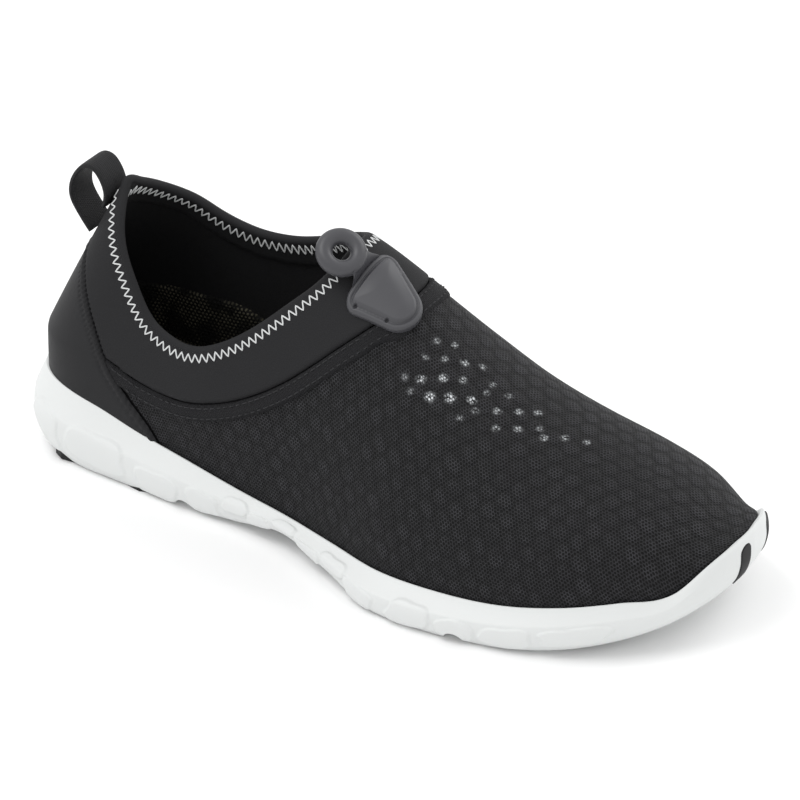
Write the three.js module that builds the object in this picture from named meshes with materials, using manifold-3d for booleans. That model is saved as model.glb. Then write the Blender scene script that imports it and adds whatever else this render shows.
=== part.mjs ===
// Slip-on water shoe for the right foot, empty and standing on its sole.
// Millimetres. +X runs to the toe, +Y to the inner side of the foot, +Z up.
// The origin lies on the floor under the middle of the heel.
import * as THREE from 'three';
import { mergeVertices } from 'three/addons/utils/BufferGeometryUtils.js';
import Module from 'manifold-3d';

const wasm = await Module();
wasm.setup();

// Driving dimensions
const soleLength = 290;        // heel to toe of the sole
const ballWidth = 93.5;        // across the upper at the ball of the foot
const instepHeight = 92;       // floor to the top of the instep, under the throat patch
const heelHeight = 103;        // floor to the top of the collar at the heel
const soleHeight = 31;         // floor to the sole's rim at the heel
const heelRound = 34;          // length over which the heel's outline closes
const toeRound = 62;           // length over which the toe's outline closes
const heelLean = 23.3;         // how far the back of the heel leans forward at the collar
const upperWall = 1.4;         // mesh with its lining
const cuffWall = 0.9;          // stretch cuff
const counterWall = 1.2;       // smooth heel counter
const tapeWall = 0.8;          // stitched tape over the seam
const hemDepth = 8;            // cuff folded over the edge and down inside
const rimInset = 3;            // upper stands in from the ends of the sole
const insoleThick = 3;
const treadThick = 3.2;        // rubber treads under heel and forefoot
const treadProud = 0.6;        // how far they stand out of the foam
const heelCentre = 45;         // origin, forward of the heel's end
const gap = 0.3;               // between pieces that touch

// Table of the last and the sole: a row for each section, at a share of the sole's length.
// half, bend and ridge are shares of the ball width, crown of the instep height,
// and rim, bed, under and flare of the sole's height.
const lastRows = [
  { at: 0.00, half: 0.340, bend: 0.015, ridge: 0.040, crown: 1.190, rim: 0.930, bed: 0.68, under: 0.220, flare: 0.280 },
  { at: 0.05, half: 0.335, bend: 0.016, ridge: 0.050, crown: 1.175, rim: 0.955, bed: 0.66, under: 0.055, flare: 0.280 },
  { at: 0.12, half: 0.332, bend: 0.017, ridge: 0.070, crown: 1.165, rim: 0.870, bed: 0.62, under: 0.000, flare: 0.275 },
  { at: 0.20, half: 0.346, bend: 0.016, ridge: 0.090, crown: 1.180, rim: 0.705, bed: 0.56, under: 0.000, flare: 0.255 },
  { at: 0.28, half: 0.364, bend: 0.010, ridge: 0.105, crown: 1.200, rim: 0.605, bed: 0.49, under: 0.010, flare: 0.210 },
  { at: 0.36, half: 0.368, bend: -0.005, ridge: 0.120, crown: 1.165, rim: 0.490, bed: 0.39, under: 0.060, flare: 0.160 },
  { at: 0.44, half: 0.378, bend: -0.023, ridge: 0.128, crown: 1.098, rim: 0.425, bed: 0.33, under: 0.190, flare: 0.150 },
  { at: 0.52, half: 0.425, bend: -0.043, ridge: 0.110, crown: 0.975, rim: 0.432, bed: 0.31, under: 0.095, flare: 0.200 },
  { at: 0.60, half: 0.481, bend: -0.060, ridge: 0.080, crown: 0.838, rim: 0.458, bed: 0.30, under: 0.000, flare: 0.267 },
  { at: 0.68, half: 0.496, bend: -0.055, ridge: 0.060, crown: 0.718, rim: 0.480, bed: 0.30, under: 0.000, flare: 0.255 },
  { at: 0.76, half: 0.491, bend: -0.033, ridge: 0.066, crown: 0.625, rim: 0.515, bed: 0.33, under: 0.000, flare: 0.212 },
  { at: 0.84, half: 0.475, bend: 0.011, ridge: 0.070, crown: 0.560, rim: 0.612, bed: 0.38, under: 0.065, flare: 0.182 },
  { at: 0.90, half: 0.462, bend: 0.059, ridge: 0.072, crown: 0.518, rim: 0.690, bed: 0.46, under: 0.174, flare: 0.166 },
  { at: 0.95, half: 0.449, bend: 0.089, ridge: 0.080, crown: 0.470, rim: 0.750, bed: 0.56, under: 0.340, flare: 0.153 },
  { at: 0.98, half: 0.441, bend: 0.102, ridge: 0.092, crown: 0.440, rim: 1.050, bed: 0.66, under: 0.503, flare: 0.145 },
  { at: 1.00, half: 0.436, bend: 0.111, ridge: 0.100, crown: 0.420, rim: 1.190, bed: 0.72, under: 0.616, flare: 0.139 },
];

// Lines on the upper in side view, at shares of the sole's length.
// The heights on the outer and the inner side are shares of the heel height at the heel,
// of the instep height from lineTop on, and of a height between the two before it.
const collarRows = [
  { at: 0.069, outer: 1.222, inner: 1.222 },
  { at: 0.115, outer: 1.051, inner: 1.085 },
  { at: 0.138, outer: 0.904, inner: 1.003 },
  { at: 0.167, outer: 0.783, inner: 0.940 },
  { at: 0.200, outer: 0.677, inner: 0.871 },
  { at: 0.235, outer: 0.639, inner: 0.832 },
  { at: 0.269, outer: 0.640, inner: 0.824 },
  { at: 0.303, outer: 0.679, inner: 0.844 },
  { at: 0.345, outer: 0.760, inner: 0.904 },
  { at: 0.388, outer: 0.877, inner: 0.991 },
  { at: 0.421, outer: 0.984, inner: 1.067 },
  { at: 0.434, outer: 1.057, inner: 1.124 },
  { at: 0.448, outer: 1.273, inner: 1.318 },
];
const seamRows = [
  { at: 0.000, outer: 0.600, inner: 0.640 },
  { at: 0.060, outer: 0.568, inner: 0.609 },
  { at: 0.110, outer: 0.503, inner: 0.544 },
  { at: 0.153, outer: 0.458, inner: 0.498 },
  { at: 0.199, outer: 0.424, inner: 0.472 },
  { at: 0.262, outer: 0.425, inner: 0.480 },
  { at: 0.313, outer: 0.467, inner: 0.519 },
  { at: 0.360, outer: 0.536, inner: 0.580 },
  { at: 0.411, outer: 0.647, inner: 0.687 },
  { at: 0.466, outer: 0.805, inner: 0.834 },
  { at: 0.506, outer: 0.912, inner: 0.929 },
  { at: 0.533, outer: 0.985, inner: 0.996 },
  { at: 0.555, outer: 1.108, inner: 1.120 },
];
const tapeWidth = 6.5;
const counterRows = [
  { at: 0.000, outer: 0.800, inner: 0.800 },
  { at: 0.060, outer: 0.812, inner: 0.812 },
  { at: 0.076, outer: 0.799, inner: 0.799 },
  { at: 0.101, outer: 0.676, inner: 0.676 },
  { at: 0.119, outer: 0.582, inner: 0.582 },
  { at: 0.142, outer: 0.457, inner: 0.457 },
  { at: 0.170, outer: 0.362, inner: 0.362 },
  { at: 0.214, outer: 0.253, inner: 0.253 },
  { at: 0.246, outer: 0.159, inner: 0.159 },
  { at: 0.620, outer: 0.022, inner: 0.022 },
];

// Cross sections of the sole's side, from the bottom edge to the rim.
// The offsets are shares of the sole's height: side on the flare, heel and toe on the length.
const soleSideRows = [
  { at: 0.00, side: -0.060, heel: -0.130, toe: -0.090 },
  { at: 0.14, side: -0.015, heel: -0.010, toe: -0.020 },
  { at: 0.38, side: 0.000, heel: 0.075, toe: 0.020 },
  { at: 0.66, side: -0.015, heel: 0.060, toe: 0.015 },
  { at: 0.88, side: -0.060, heel: 0.015, toe: 0.000 },
  { at: 1.00, side: -0.090, heel: -0.020, toe: -0.030 },
];
const rimLip = 1.4;            // the rim's width beyond the upper

const outerRound = 1.91;       // power of the section's curve on the outer side
const innerRound = 2.32;       // and on the fuller inner side
const leanFrom = 0.437;         // share of the heel's height where the back starts to lean
const leanPower = 1.0;
const leanReach = 0.414;        // share of the length over which the lean fades out
const heelPower = 2.34;        // powers of the outline's curves at heel and toe
const toePower = 2.33;
const toeDome = 4;              // how bluntly the top comes down to the toe

function rowValue(rows, key, at) {
  const last = rows.length - 1;
  const q = Math.min(Math.max(at, rows[0].at), rows[last].at);
  let i = 0;
  while (i < last - 1 && rows[i + 1].at < q) i += 1;
  const slope = (k) => (rows[k + 1][key] - rows[k][key]) / (rows[k + 1].at - rows[k].at);
  const tangent = (k) => {
    if (k === 0) return slope(0);
    if (k === last) return slope(last - 1);
    return (slope(k - 1) + slope(k)) / 2;
  };
  const span = rows[i + 1].at - rows[i].at;
  const t = (q - rows[i].at) / span;
  const t2 = t * t;
  const t3 = t2 * t;
  return (2 * t3 - 3 * t2 + 1) * rows[i][key] + (t3 - 2 * t2 + t) * span * tangent(i)
    + (3 * t2 - 2 * t3) * rows[i + 1][key] + (t3 - t2) * span * tangent(i + 1);
}

const clamp = (value, low, high) => Math.min(Math.max(value, low), high);
const half = (x) => ballWidth * rowValue(lastRows, 'half', x / soleLength);
const bend = (x) => ballWidth * rowValue(lastRows, 'bend', x / soleLength);
const ridge = (x) => ballWidth * rowValue(lastRows, 'ridge', x / soleLength);
const crown = (x) => instepHeight * rowValue(lastRows, 'crown', x / soleLength);
const rim = (x) => soleHeight * rowValue(lastRows, 'rim', x / soleLength);
const bed = (x) => soleHeight * rowValue(lastRows, 'bed', x / soleLength);
const under = (x) => soleHeight * Math.max(0, rowValue(lastRows, 'under', x / soleLength));
const flare = (x) => soleHeight * rowValue(lastRows, 'flare', x / soleLength);

// Share of the full width at x, for an outline that closes at the points from and to
function closing(x, from, to, heelLength, toeLength) {
  const h = clamp(1 - (x - from) / heelLength, 0, 1);
  const t = clamp(1 - (to - x) / toeLength, 0, 1);
  return (1 - h ** heelPower) ** (1 / heelPower) * (1 - t ** toePower) ** (1 / toePower);
}

// A number of stations between two ends, closer together near the ends
function stations(from, to, count) {
  const places = [];
  for (let i = 0; i <= count; i += 1) {
    places.push(from + (to - from) * (1 - Math.cos(Math.PI * i / count)) / 2);
  }
  return places;
}

// Solids from rings of points
function solidFrom(points, triangles) {
  const geometry = new THREE.BufferGeometry();
  geometry.setAttribute('position', new THREE.Float32BufferAttribute(points.flatMap((p) => [p.x, p.y, p.z]), 3));
  geometry.setIndex(triangles);
  return solidOf(geometry);
}

function solidOf(source) {
  const geometry = source.clone();
  geometry.deleteAttribute('normal');
  geometry.deleteAttribute('uv');
  const merged = mergeVertices(geometry, 1e-4);
  const position = merged.getAttribute('position');
  const index = merged.getIndex().array;
  const kept = [];
  let volume = 0;
  const a = new THREE.Vector3();
  const b = new THREE.Vector3();
  const c = new THREE.Vector3();
  for (let i = 0; i < index.length; i += 3) {
    const [p, q, r] = [index[i], index[i + 1], index[i + 2]];
    if (p === q || q === r || r === p) continue;
    kept.push(p, q, r);
    a.fromBufferAttribute(position, p);
    b.fromBufferAttribute(position, q);
    c.fromBufferAttribute(position, r);
    volume += a.dot(b.cross(c));
  }
  if (volume < 0) kept.reverse();
  return new wasm.Manifold(new wasm.Mesh({
    numProp: 3,
    vertProperties: new Float32Array(position.array),
    triVerts: new Uint32Array(kept),
  }));
}

function loft(rings) {
  const count = rings[0].length;
  const points = rings.flat();
  const triangles = [];
  for (let i = 0; i < rings.length - 1; i += 1) {
    for (let j = 0; j < count; j += 1) {
      const a = i * count + j;
      const b = i * count + (j + 1) % count;
      triangles.push(a, b, b + count, a, b + count, a + count);
    }
  }
  const cap = (first, outward) => {
    const ring = points.slice(first, first + count);
    const centre = ring.reduce((sum, p) => sum.add(p), new THREE.Vector3()).divideScalar(count);
    const across = Math.max(...ring.map((p, j) => p.distanceTo(ring[(count - j - 1 + count) % count])));
    const flat = ring.every((p) => Math.abs(p.y - ring[0].y) < 1e-3 || across < 1e-3);
    if (flat) return;
    points.push(centre);
    for (let j = 0; j < count; j += 1) {
      const a = first + j;
      const b = first + (j + 1) % count;
      if (outward) triangles.push(a, b, points.length - 1);
      else triangles.push(b, a, points.length - 1);
    }
  };
  cap(0, false);
  cap((rings.length - 1) * count, true);
  return solidFrom(points, triangles);
}

// How far forward the heel's back leans at a height
function lean(x, z) {
  const height = clamp(z / (leanFrom * heelHeight) - 1, 0, 1.3);
  return heelLean * height ** leanPower * clamp(1 - x / (leanReach * soleLength), 0, 1);
}

// The upper's form, grown outward by the given amount; turn runs from 0 on the outer side to pi
function upperPoint(x, turn, grow) {
  const from = rimInset - grow;
  const to = soleLength - rimInset + grow;
  const open = closing(x, from, to, heelRound + grow, toeRound + grow);
  const width = (half(x) + grow) * open;
  const power = turn > Math.PI / 2 ? outerRound + (innerRound - outerRound) * open : outerRound;
  const rise = Math.abs(Math.sin(turn)) ** (2 / power);
  const reach = Math.sign(Math.cos(turn)) * Math.abs(Math.cos(turn)) ** (2 / power);
  const toe = clamp(1 - (to - x) / (toeRound + grow), 0, 1);
  const top = rim(x) + (crown(x) + grow - rim(x)) * Math.sqrt(1 - toe ** toeDome);
  const z = rim(x) + (top - rim(x)) * rise;
  const y = bend(x) + (ridge(x) - bend(x)) * rise * open - width * reach;
  return new THREE.Vector3(x + lean(x, z), y, z);
}

const upperStations = 24;
const upperTurns = 14;

function upperForm(grow, bottom) {
  const places = stations(rimInset - grow, soleLength - rimInset + grow, upperStations);
  const rings = places.map((x) => {
    const ring = [];
    for (let j = 0; j <= upperTurns; j += 1) {
      ring.push(upperPoint(x, Math.PI * j / upperTurns, grow));
    }
    const outer = ring[0];
    const inner = ring[upperTurns];
    ring.push(new THREE.Vector3(x, inner.y, bottom(x)));
    ring.push(new THREE.Vector3(x, outer.y, bottom(x)));
    return ring;
  });
  return loft(rings);
}

// Everything above a line of the side view, moved outward from the line's side by drop
const lineReach = 26;          // half distance between the places that the two heights are given for
const cutWidth = 80;
const cutTop = 160;
const cutStep = 5.2;
const lineTop = 0.45;          // share of the length where the lines reach the instep
const cutPlaces = [-1, -0.4, -0.3, -0.2, -0.1, 0, 0.1, 0.2, 0.3, 0.4, 1];
function above(rows, drop) {
  const scale = (at) => heelHeight + (instepHeight - heelHeight) * clamp(at / lineTop, 0, 1);
  const key = (side, at) => scale(at) * rowValue(rows, side, at);
  const first = rows[0].at;
  const last = rows[rows.length - 1].at;
  const count = Math.ceil((last - first) * soleLength / cutStep);
  const rings = [];
  for (let i = 0; i <= count; i += 1) {
    const at = first + (last - first) * i / count;
    const side = (name) => {
      const step = 0.002;
      const slope = (key(name, at + step) - key(name, at - step)) / (2 * step * soleLength);
      const size = Math.hypot(1, slope);
      return { x: at * soleLength + drop * slope / size, z: key(name, at) - drop / size };
    };
    const outer = side('outer');
    const inner = side('inner');
    const place = (y) => {
      const t = (y - bend(at * soleLength)) / lineReach;
      return new THREE.Vector3(
        (outer.x + inner.x) / 2 + t * (inner.x - outer.x) / 2,
        y,
        (outer.z + inner.z) / 2 + t * (inner.z - outer.z) / 2,
      );
    };
    const line = cutPlaces.map((t) => place(t * cutWidth));
    const roof = [line[line.length - 1], line[0]].map((p) => p.clone().setZ(cutTop));
    rings.push([...line, ...roof]);
  }
  return loft(rings);
}

// The sole's outer form at a level of its side
function solePoint(x, level, side, grow) {
  const offset = (key) => soleHeight * rowValue(soleSideRows, key, level);
  const from = -offset('heel') - grow;
  const to = soleLength + offset('toe') + grow;
  const place = from + (to - from) * x / soleLength;
  const mix = clamp((level - 0.66) / 0.34, 0, 1);
  const bulge = (1 - mix) * (flare(place) + offset('side')) + mix * rimLip;
  const width = (half(place) + bulge + grow) * closing(place, from, to, heelRound + rimInset, toeRound + rimInset);
  const low = under(place) + treadProud;
  return new THREE.Vector3(place, bend(place) + side * width, low + (rim(place) - low) * level);
}

const soleStations = 24;
function soleForm(grow) {
  const levels = soleSideRows.map((row) => row.at);
  const rings = stations(0, soleLength, soleStations).map((x) => {
    const outer = levels.map((level) => solePoint(x, level, -1, grow));
    const inner = levels.map((level) => solePoint(x, level, 1, grow)).reverse();
    const top = outer[outer.length - 1];
    const topInner = inner[0];
    const bottom = outer[0];
    const bottomInner = inner[inner.length - 1];
    return [...outer, top.clone().lerp(topInner, 0.5), ...inner, bottomInner.clone().lerp(bottom, 0.5)];
  });
  return loft(rings);
}

// Everything below a height that follows the length
function below(height) {
  const rings = stations(-cutStep * 3, soleLength + cutStep * 3, upperStations).map((x) => {
    const z = height(x);
    return [
      new THREE.Vector3(x, -cutWidth, -cutWidth),
      new THREE.Vector3(x, cutWidth, -cutWidth),
      new THREE.Vector3(x, cutWidth, z),
      new THREE.Vector3(x, -cutWidth, z),
    ];
  });
  return loft(rings);
}

function block(from, to) {
  const geometry = new THREE.BoxGeometry(to.x - from.x, to.y - from.y, to.z - from.z);
  geometry.translate((from.x + to.x) / 2, (from.y + to.y) / 2, (from.z + to.z) / 2);
  return solidOf(geometry);
}

const deep = () => -cutWidth;
const shell = (outer, inner) => upperForm(outer, (x) => bed(x)).subtract(upperForm(inner, deep));
const aboveRim = (solid) => solid.subtract(below((x) => rim(x) + gap));

// Upper: one wall from collar to sole, open at the top and underneath
function makeUpper() {
  const wall = upperForm(0, (x) => bed(x) + gap).subtract(upperForm(-upperWall, deep));
  return wall.subtract(above(collarRows, cuffWall + gap));
}

// Cuff: stretch panel round the collar, folded over the edge and down inside
function makeCuff() {
  const inside = -upperWall - gap;
  let cuff = shell(gap + cuffWall, inside - cuffWall).subtract(above(collarRows, 0));
  cuff = cuff.intersect(above(seamRows, 0)).intersect(above(counterRows, -gap));
  const wallRoom = upperForm(gap, deep).subtract(upperForm(inside, deep));
  cuff = cuff.subtract(wallRoom.subtract(above(collarRows, cuffWall)));
  return cuff.subtract(upperForm(gap, deep).subtract(above(collarRows, hemDepth)));
}

function makeTape() {
  const band = shell(gap + tapeWall, gap).intersect(above(seamRows, tapeWidth));
  return aboveRim(band.subtract(above(seamRows, gap)).intersect(above(counterRows, -gap)));
}

function makeCounter() {
  const front = counterRows[counterRows.length - 2].at * soleLength;
  const room = block(
    new THREE.Vector3(-cutWidth, -cutWidth, -cutWidth),
    new THREE.Vector3(front, cutWidth, cutTop),
  );
  return aboveRim(shell(gap + counterWall, gap).intersect(room).subtract(above(counterRows, 0)));
}

function makeInsole() {
  const plan = upperForm(-upperWall - gap, (x) => bed(x) + gap);
  return plan.intersect(below((x) => bed(x) + gap + insoleThick));
}

// Rubber treads: a row for each, with its ends as shares of the length,
// how far it keeps from the foam's edge as a share of the ball width, and its waves
const treadRows = [
  { name: 'tread_heel', from: 0.036, to: 0.255, edge: -0.006, wave: 0.050, waves: 1.5 },
  { name: 'tread_ball', from: 0.545, to: 0.705, edge: 0.060, wave: 0.040, waves: 2 },
  { name: 'tread_toe', from: 0.735, to: 0.905, edge: 0.070, wave: 0.040, waves: 2 },
];
const treadGroove = { width: 3, depth: 1.6, pitch: 20 };

function treadSlab(row, spare, low, high) {
  const from = row.from * soleLength - spare;
  const to = row.to * soleLength + spare;
  const corner = (to - from) * 0.22;
  const rings = stations(from, to, 20).map((x) => {
    const t = (x - from) / (to - from);
    const wave = row.wave * Math.sin(Math.PI * row.waves * (t - 0.14)) ** 2;
    const edge = half(x) + flare(x) + soleHeight * soleSideRows[0].side - ballWidth * (row.edge + wave);
    const width = (edge + spare) * closing(x, from, to, corner, corner) * closing(x, 0, soleLength, heelRound, toeRound);
    const y = (side) => bend(x) + side * width;
    return [
      new THREE.Vector3(x, y(-1), low(x)),
      new THREE.Vector3(x, y(1), low(x)),
      new THREE.Vector3(x, y(1), high(x)),
      new THREE.Vector3(x, y(-1), high(x)),
    ];
  });
  return loft(rings);
}

function makeTread(row) {
  let tread = treadSlab(row, 0, under, (x) => under(x) + treadThick);
  const length = (row.to - row.from) * soleLength;
  const count = Math.floor(length / treadGroove.pitch);
  for (let i = 1; i < count; i += 1) {
    const x = row.from * soleLength + length * i / count;
    tread = tread.subtract(block(
      new THREE.Vector3(x - treadGroove.width / 2, -cutWidth, -cutWidth),
      new THREE.Vector3(x + treadGroove.width / 2, cutWidth, under(x) + treadGroove.depth),
    ));
  }
  return tread;
}

// Stones: raised pads on the foam's side. Place and size along are shares of the length,
// level and high are shares of the side's height, and lean tilts the pad forward.
const stoneRows = [
  { at: 0.060, level: 0.40, long: 0.060, high: 0.62, lean: 0.10 },
  { at: 0.150, level: 0.42, long: 0.096, high: 0.60, lean: 0.00 },
  { at: 0.246, level: 0.32, long: 0.066, high: 0.58, lean: 0.15 },
  { at: 0.317, level: 0.34, long: 0.050, high: 0.58, lean: -0.12 },
  { at: 0.368, level: 0.58, long: 0.040, high: 0.44, lean: 0.10 },
  { at: 0.405, level: 0.36, long: 0.036, high: 0.50, lean: -0.10 },
  { at: 0.446, level: 0.60, long: 0.038, high: 0.42, lean: 0.20 },
  { at: 0.490, level: 0.36, long: 0.044, high: 0.50, lean: -0.15 },
  { at: 0.537, level: 0.58, long: 0.046, high: 0.44, lean: 0.15 },
  { at: 0.585, level: 0.36, long: 0.050, high: 0.56, lean: -0.10 },
  { at: 0.660, level: 0.40, long: 0.058, high: 0.68, lean: 0.30 },
  { at: 0.722, level: 0.36, long: 0.050, high: 0.50, lean: -0.10 },
  { at: 0.784, level: 0.34, long: 0.062, high: 0.52, lean: 0.00 },
  { at: 0.860, level: 0.38, long: 0.076, high: 0.46, lean: 0.10 },
];
const stoneRise = 0.7;
const stoneRoot = 1.5;
const stoneSides = 6;
const stonePower = 3.2;

function makeStone(row, side) {
  const corner = (j, size, grow) => {
    const turn = 2 * Math.PI * (j + 0.5) / stoneSides;
    const round = (value) => Math.sign(value) * Math.abs(value) ** (2 / stonePower);
    const up = round(Math.sin(turn)) * row.high * size / 2;
    const along = round(Math.cos(turn)) * row.long * size / 2 + row.lean * up * row.long;
    return solePoint((row.at + along) * soleLength, clamp(row.level + up, 0, 1), side, grow);
  };
  const ring = (size, grow) => [...Array(stoneSides).keys()].map((j) => corner(j, size, grow));
  return loft([ring(1, -stoneRoot), ring(0.9, stoneRise)]);
}

// Grooves across the foam's underside, at shares of the length, between the treads
const flexGrooves = [0.282, 0.720];
const flexRadius = 4.2;

// Rubber tabs in the toe bumper, at shares of the ball width from the sole's middle line
const tabRows = [
  { name: 'toe_tab_outer', at: -0.062, tilt: 0.06 },
  { name: 'toe_tab_inner', at: 0.160, tilt: -0.06 },
];
const tabWidth = 6.6;
const tabTop = 0.86;            // share of the bumper's height
const tabDepth = 2;
const tabProud = 0.25;

// How far the toe's outline lies back at a distance from the sole's middle line
function toeBack(across) {
  const share = clamp(Math.abs(across) / half(soleLength), 0, 1);
  return (toeRound + rimInset) * (1 - (1 - share ** toePower) ** (1 / toePower));
}

function tabPrism(row, spare) {
  const across = row.at * ballWidth;
  const wide = tabWidth / 2 + spare;
  const top = rim(soleLength) * tabTop - tabWidth / 2;
  const shape = new THREE.Shape();
  shape.moveTo(-wide, 0);
  shape.lineTo(wide, 0);
  shape.lineTo(wide, top);
  shape.absarc(0, top, wide, 0, Math.PI, false);
  shape.closePath();
  const geometry = new THREE.ExtrudeGeometry(shape, { depth: toeRound, bevelEnabled: false, curveSegments: 6 });
  geometry.translate(0, -top, 0);
  geometry.rotateZ(-row.tilt);
  geometry.translate(0, top, 0);
  geometry.applyMatrix4(new THREE.Matrix4().makeBasis(
    new THREE.Vector3(0, 1, 0),
    new THREE.Vector3(0, 0, 1),
    new THREE.Vector3(1, 0, 0),
  ));
  geometry.translate(-tabDepth - spare, 0, 0);
  geometry.rotateZ(Math.atan((toeBack(across + wide) - toeBack(across - wide)) / (2 * wide)));
  geometry.translate(soleLength - toeBack(across), bend(soleLength) + across, 0);
  return solidOf(geometry);
}

function makeTab(row) {
  return soleForm(tabProud).intersect(tabPrism(row, 0));
}

// Room for the upper's foot, open at the top
function footRoom() {
  const places = stations(rimInset - gap, soleLength - rimInset + gap, upperStations);
  return loft(places.map((x) => {
    const outer = upperPoint(x, 0, gap);
    const inner = upperPoint(x, Math.PI, gap);
    return [
      outer.clone().setZ(bed(x)),
      inner.clone().setZ(bed(x)),
      inner.clone().setZ(cutTop),
      outer.clone().setZ(cutTop),
    ];
  }));
}

function makeSole() {
  let sole = soleForm(0);
  for (const row of stoneRows) {
    sole = sole.add(makeStone(row, -1)).add(makeStone(row, 1));
  }
  sole = sole.subtract(footRoom());
  for (const row of treadRows) {
    sole = sole.subtract(treadSlab(row, gap, deep, (x) => under(x) + treadThick + gap));
  }
  for (const at of flexGrooves) {
    const groove = new THREE.CylinderGeometry(flexRadius, flexRadius, 2 * cutWidth, 14);
    groove.translate(at * soleLength, 0, 0);
    sole = sole.subtract(solidOf(groove));
  }
  for (const row of tabRows) {
    sole = sole.subtract(tabPrism(row, gap));
  }
  return sole;
}

// Pull loop: a band that stands behind the heel. Its height is a share of the heel's height
// and its distance behind the heel a share of the loop's reach.
const loopReach = 16.8;
const loopWidth = 16;
const loopThick = 2;
const loopRows = [
  { height: 0.816, back: 0.00 },
  { height: 0.859, back: 0.34 },
  { height: 0.927, back: 0.81 },
  { height: 0.985, back: 1.00 },
  { height: 1.039, back: 0.91 },
  { height: 1.078, back: 0.67 },
  { height: 1.076, back: 0.42 },
  { height: 1.042, back: 0.24 },
  { height: 1.000, back: 0.13 },
  { height: 0.966, back: 0.03 },
  { height: 0.935, back: 0.00 },
];

function heelBack(z, grow) {
  const x = rimInset - grow;
  return x + lean(x, z);
}

function makeLoop() {
  const seat = gap + loopThick / 2;
  const path = new THREE.CatmullRomCurve3(loopRows.map((row) => {
    const z = row.height * heelHeight;
    const x = heelBack(z, gap + cuffWall) - seat - row.back * (loopReach - seat);
    return new THREE.Vector3(x, z, 0);
  }));
  const steps = 30;
  const side = (sign) => [...Array(steps + 1).keys()].map((i) => {
    const point = path.getPointAt(i / steps);
    const along = path.getTangentAt(i / steps);
    return new THREE.Vector2(point.x - sign * along.y * loopThick / 2, point.y + sign * along.x * loopThick / 2);
  });
  const shape = new THREE.Shape([...side(1), ...side(-1).reverse()]);
  const geometry = new THREE.ExtrudeGeometry(shape, { depth: loopWidth, bevelEnabled: false });
  geometry.translate(0, 0, -loopWidth / 2);
  geometry.rotateX(Math.PI / 2);
  geometry.translate(0, bend(heelRound) * 0.5, 0);
  return solidOf(geometry);
}

// Throat tab: a rounded three-cornered patch on the instep, moulded in one with a ring.
// A corner has the place of its arc's centre, as shares of length and ball width, and its radius.
const patchCorners = [
  { at: 0.4734, across: -0.042, round: 4.2 },
  { at: 0.5193, across: 0.014, round: 8.2 },
  { at: 0.4800, across: 0.117, round: 4.3 },
];
const patchThick = 2;
const patchPad = 0.9;
const padInset = 2.3;
const arcSteps = 6;
const ringRadius = 6.3;
const ringTube = 3.1;
const ringPlace = { at: 0.4403, across: -0.004, rise: 0.137 };
const ringFacing = new THREE.Vector3(0.45, -0.40, 0.80).normalize();
const neckWidth = 11;
const neckThick = 3.4;
const neckSink = 1.6;          // how far the neck runs into ring and patch

// Outline of the patch in plan, moved inward by the given distance
function patchOutline(inset) {
  const centre = (i) => {
    const corner = patchCorners[i % patchCorners.length];
    return new THREE.Vector3(corner.at * soleLength, corner.across * ballWidth, 0);
  };
  const round = (i) => patchCorners[i % patchCorners.length].round;
  const side = (i) => {
    const run = centre(i + 1).sub(centre(i));
    return Math.atan2(run.y, run.x) - Math.acos((round(i) - round(i + 1)) / run.length());
  };
  const outline = [];
  patchCorners.forEach((corner, i) => {
    const first = side(i + patchCorners.length - 1);
    const sweep = (side(i) - first + 4 * Math.PI) % (2 * Math.PI);
    for (let j = 0; j <= arcSteps; j += 1) {
      const turn = first + sweep * j / arcSteps;
      const out = new THREE.Vector3(Math.cos(turn), Math.sin(turn), 0);
      outline.push(centre(i).addScaledVector(out, corner.round - inset));
    }
  });
  return outline;
}

function patchPrism(inset) {
  const outline = patchOutline(inset);
  return loft([outline, outline.map((p) => p.clone().setZ(cutTop))]);
}

// Place on the upper over a place of the plan
function overPlan(place, grow) {
  let low = 0;
  let high = Math.PI;
  for (let i = 0; i < 30; i += 1) {
    const turn = (low + high) / 2;
    if (upperPoint(place.x, turn, grow).y < place.y) low = turn;
    else high = turn;
  }
  return upperPoint(place.x, low, grow);
}

function makeThroatTab() {
  const low = 2 * gap + cuffWall;
  const high = low + patchThick;
  const patch = upperForm(high, bed).intersect(patchPrism(0));
  const pad = upperForm(high + patchPad, bed).intersect(patchPrism(padInset));
  const centre = new THREE.Vector3(
    ringPlace.at * soleLength,
    ringPlace.across * ballWidth,
    instepHeight * (1 + ringPlace.rise),
  );
  const turn = new THREE.Quaternion().setFromUnitVectors(new THREE.Vector3(0, 0, 1), ringFacing);
  const ring = new THREE.TorusGeometry(ringRadius, ringTube, 10, 26);
  ring.applyQuaternion(turn);
  ring.translate(centre.x, centre.y, centre.z);

  const outline = patchOutline(neckSink);
  const ends = [outline[0], outline[outline.length - 1]];
  const feet = ends.map((end) => [overPlan(end, low), overPlan(end, high)]);
  const middle = feet.flat().reduce((sum, p) => sum.add(p), new THREE.Vector3()).divideScalar(4);
  const along = middle.clone().sub(centre).projectOnPlane(ringFacing).normalize();
  const across = ringFacing.clone().cross(along);
  const start = centre.clone().addScaledVector(along, ringRadius + ringTube - neckSink);
  const corner = (side, rise) => start.clone()
    .addScaledVector(across, side * neckWidth / 2)
    .addScaledVector(ringFacing, rise * neckThick / 2);
  const neck = loft([
    [corner(-1, -1), corner(1, -1), corner(1, 1), corner(-1, 1)],
    [feet[0][0], feet[1][0], feet[1][1], feet[0][1]],
  ]);
  return patch.add(pad).add(neck).subtract(upperForm(low, deep)).add(solidOf(ring));
}

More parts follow.
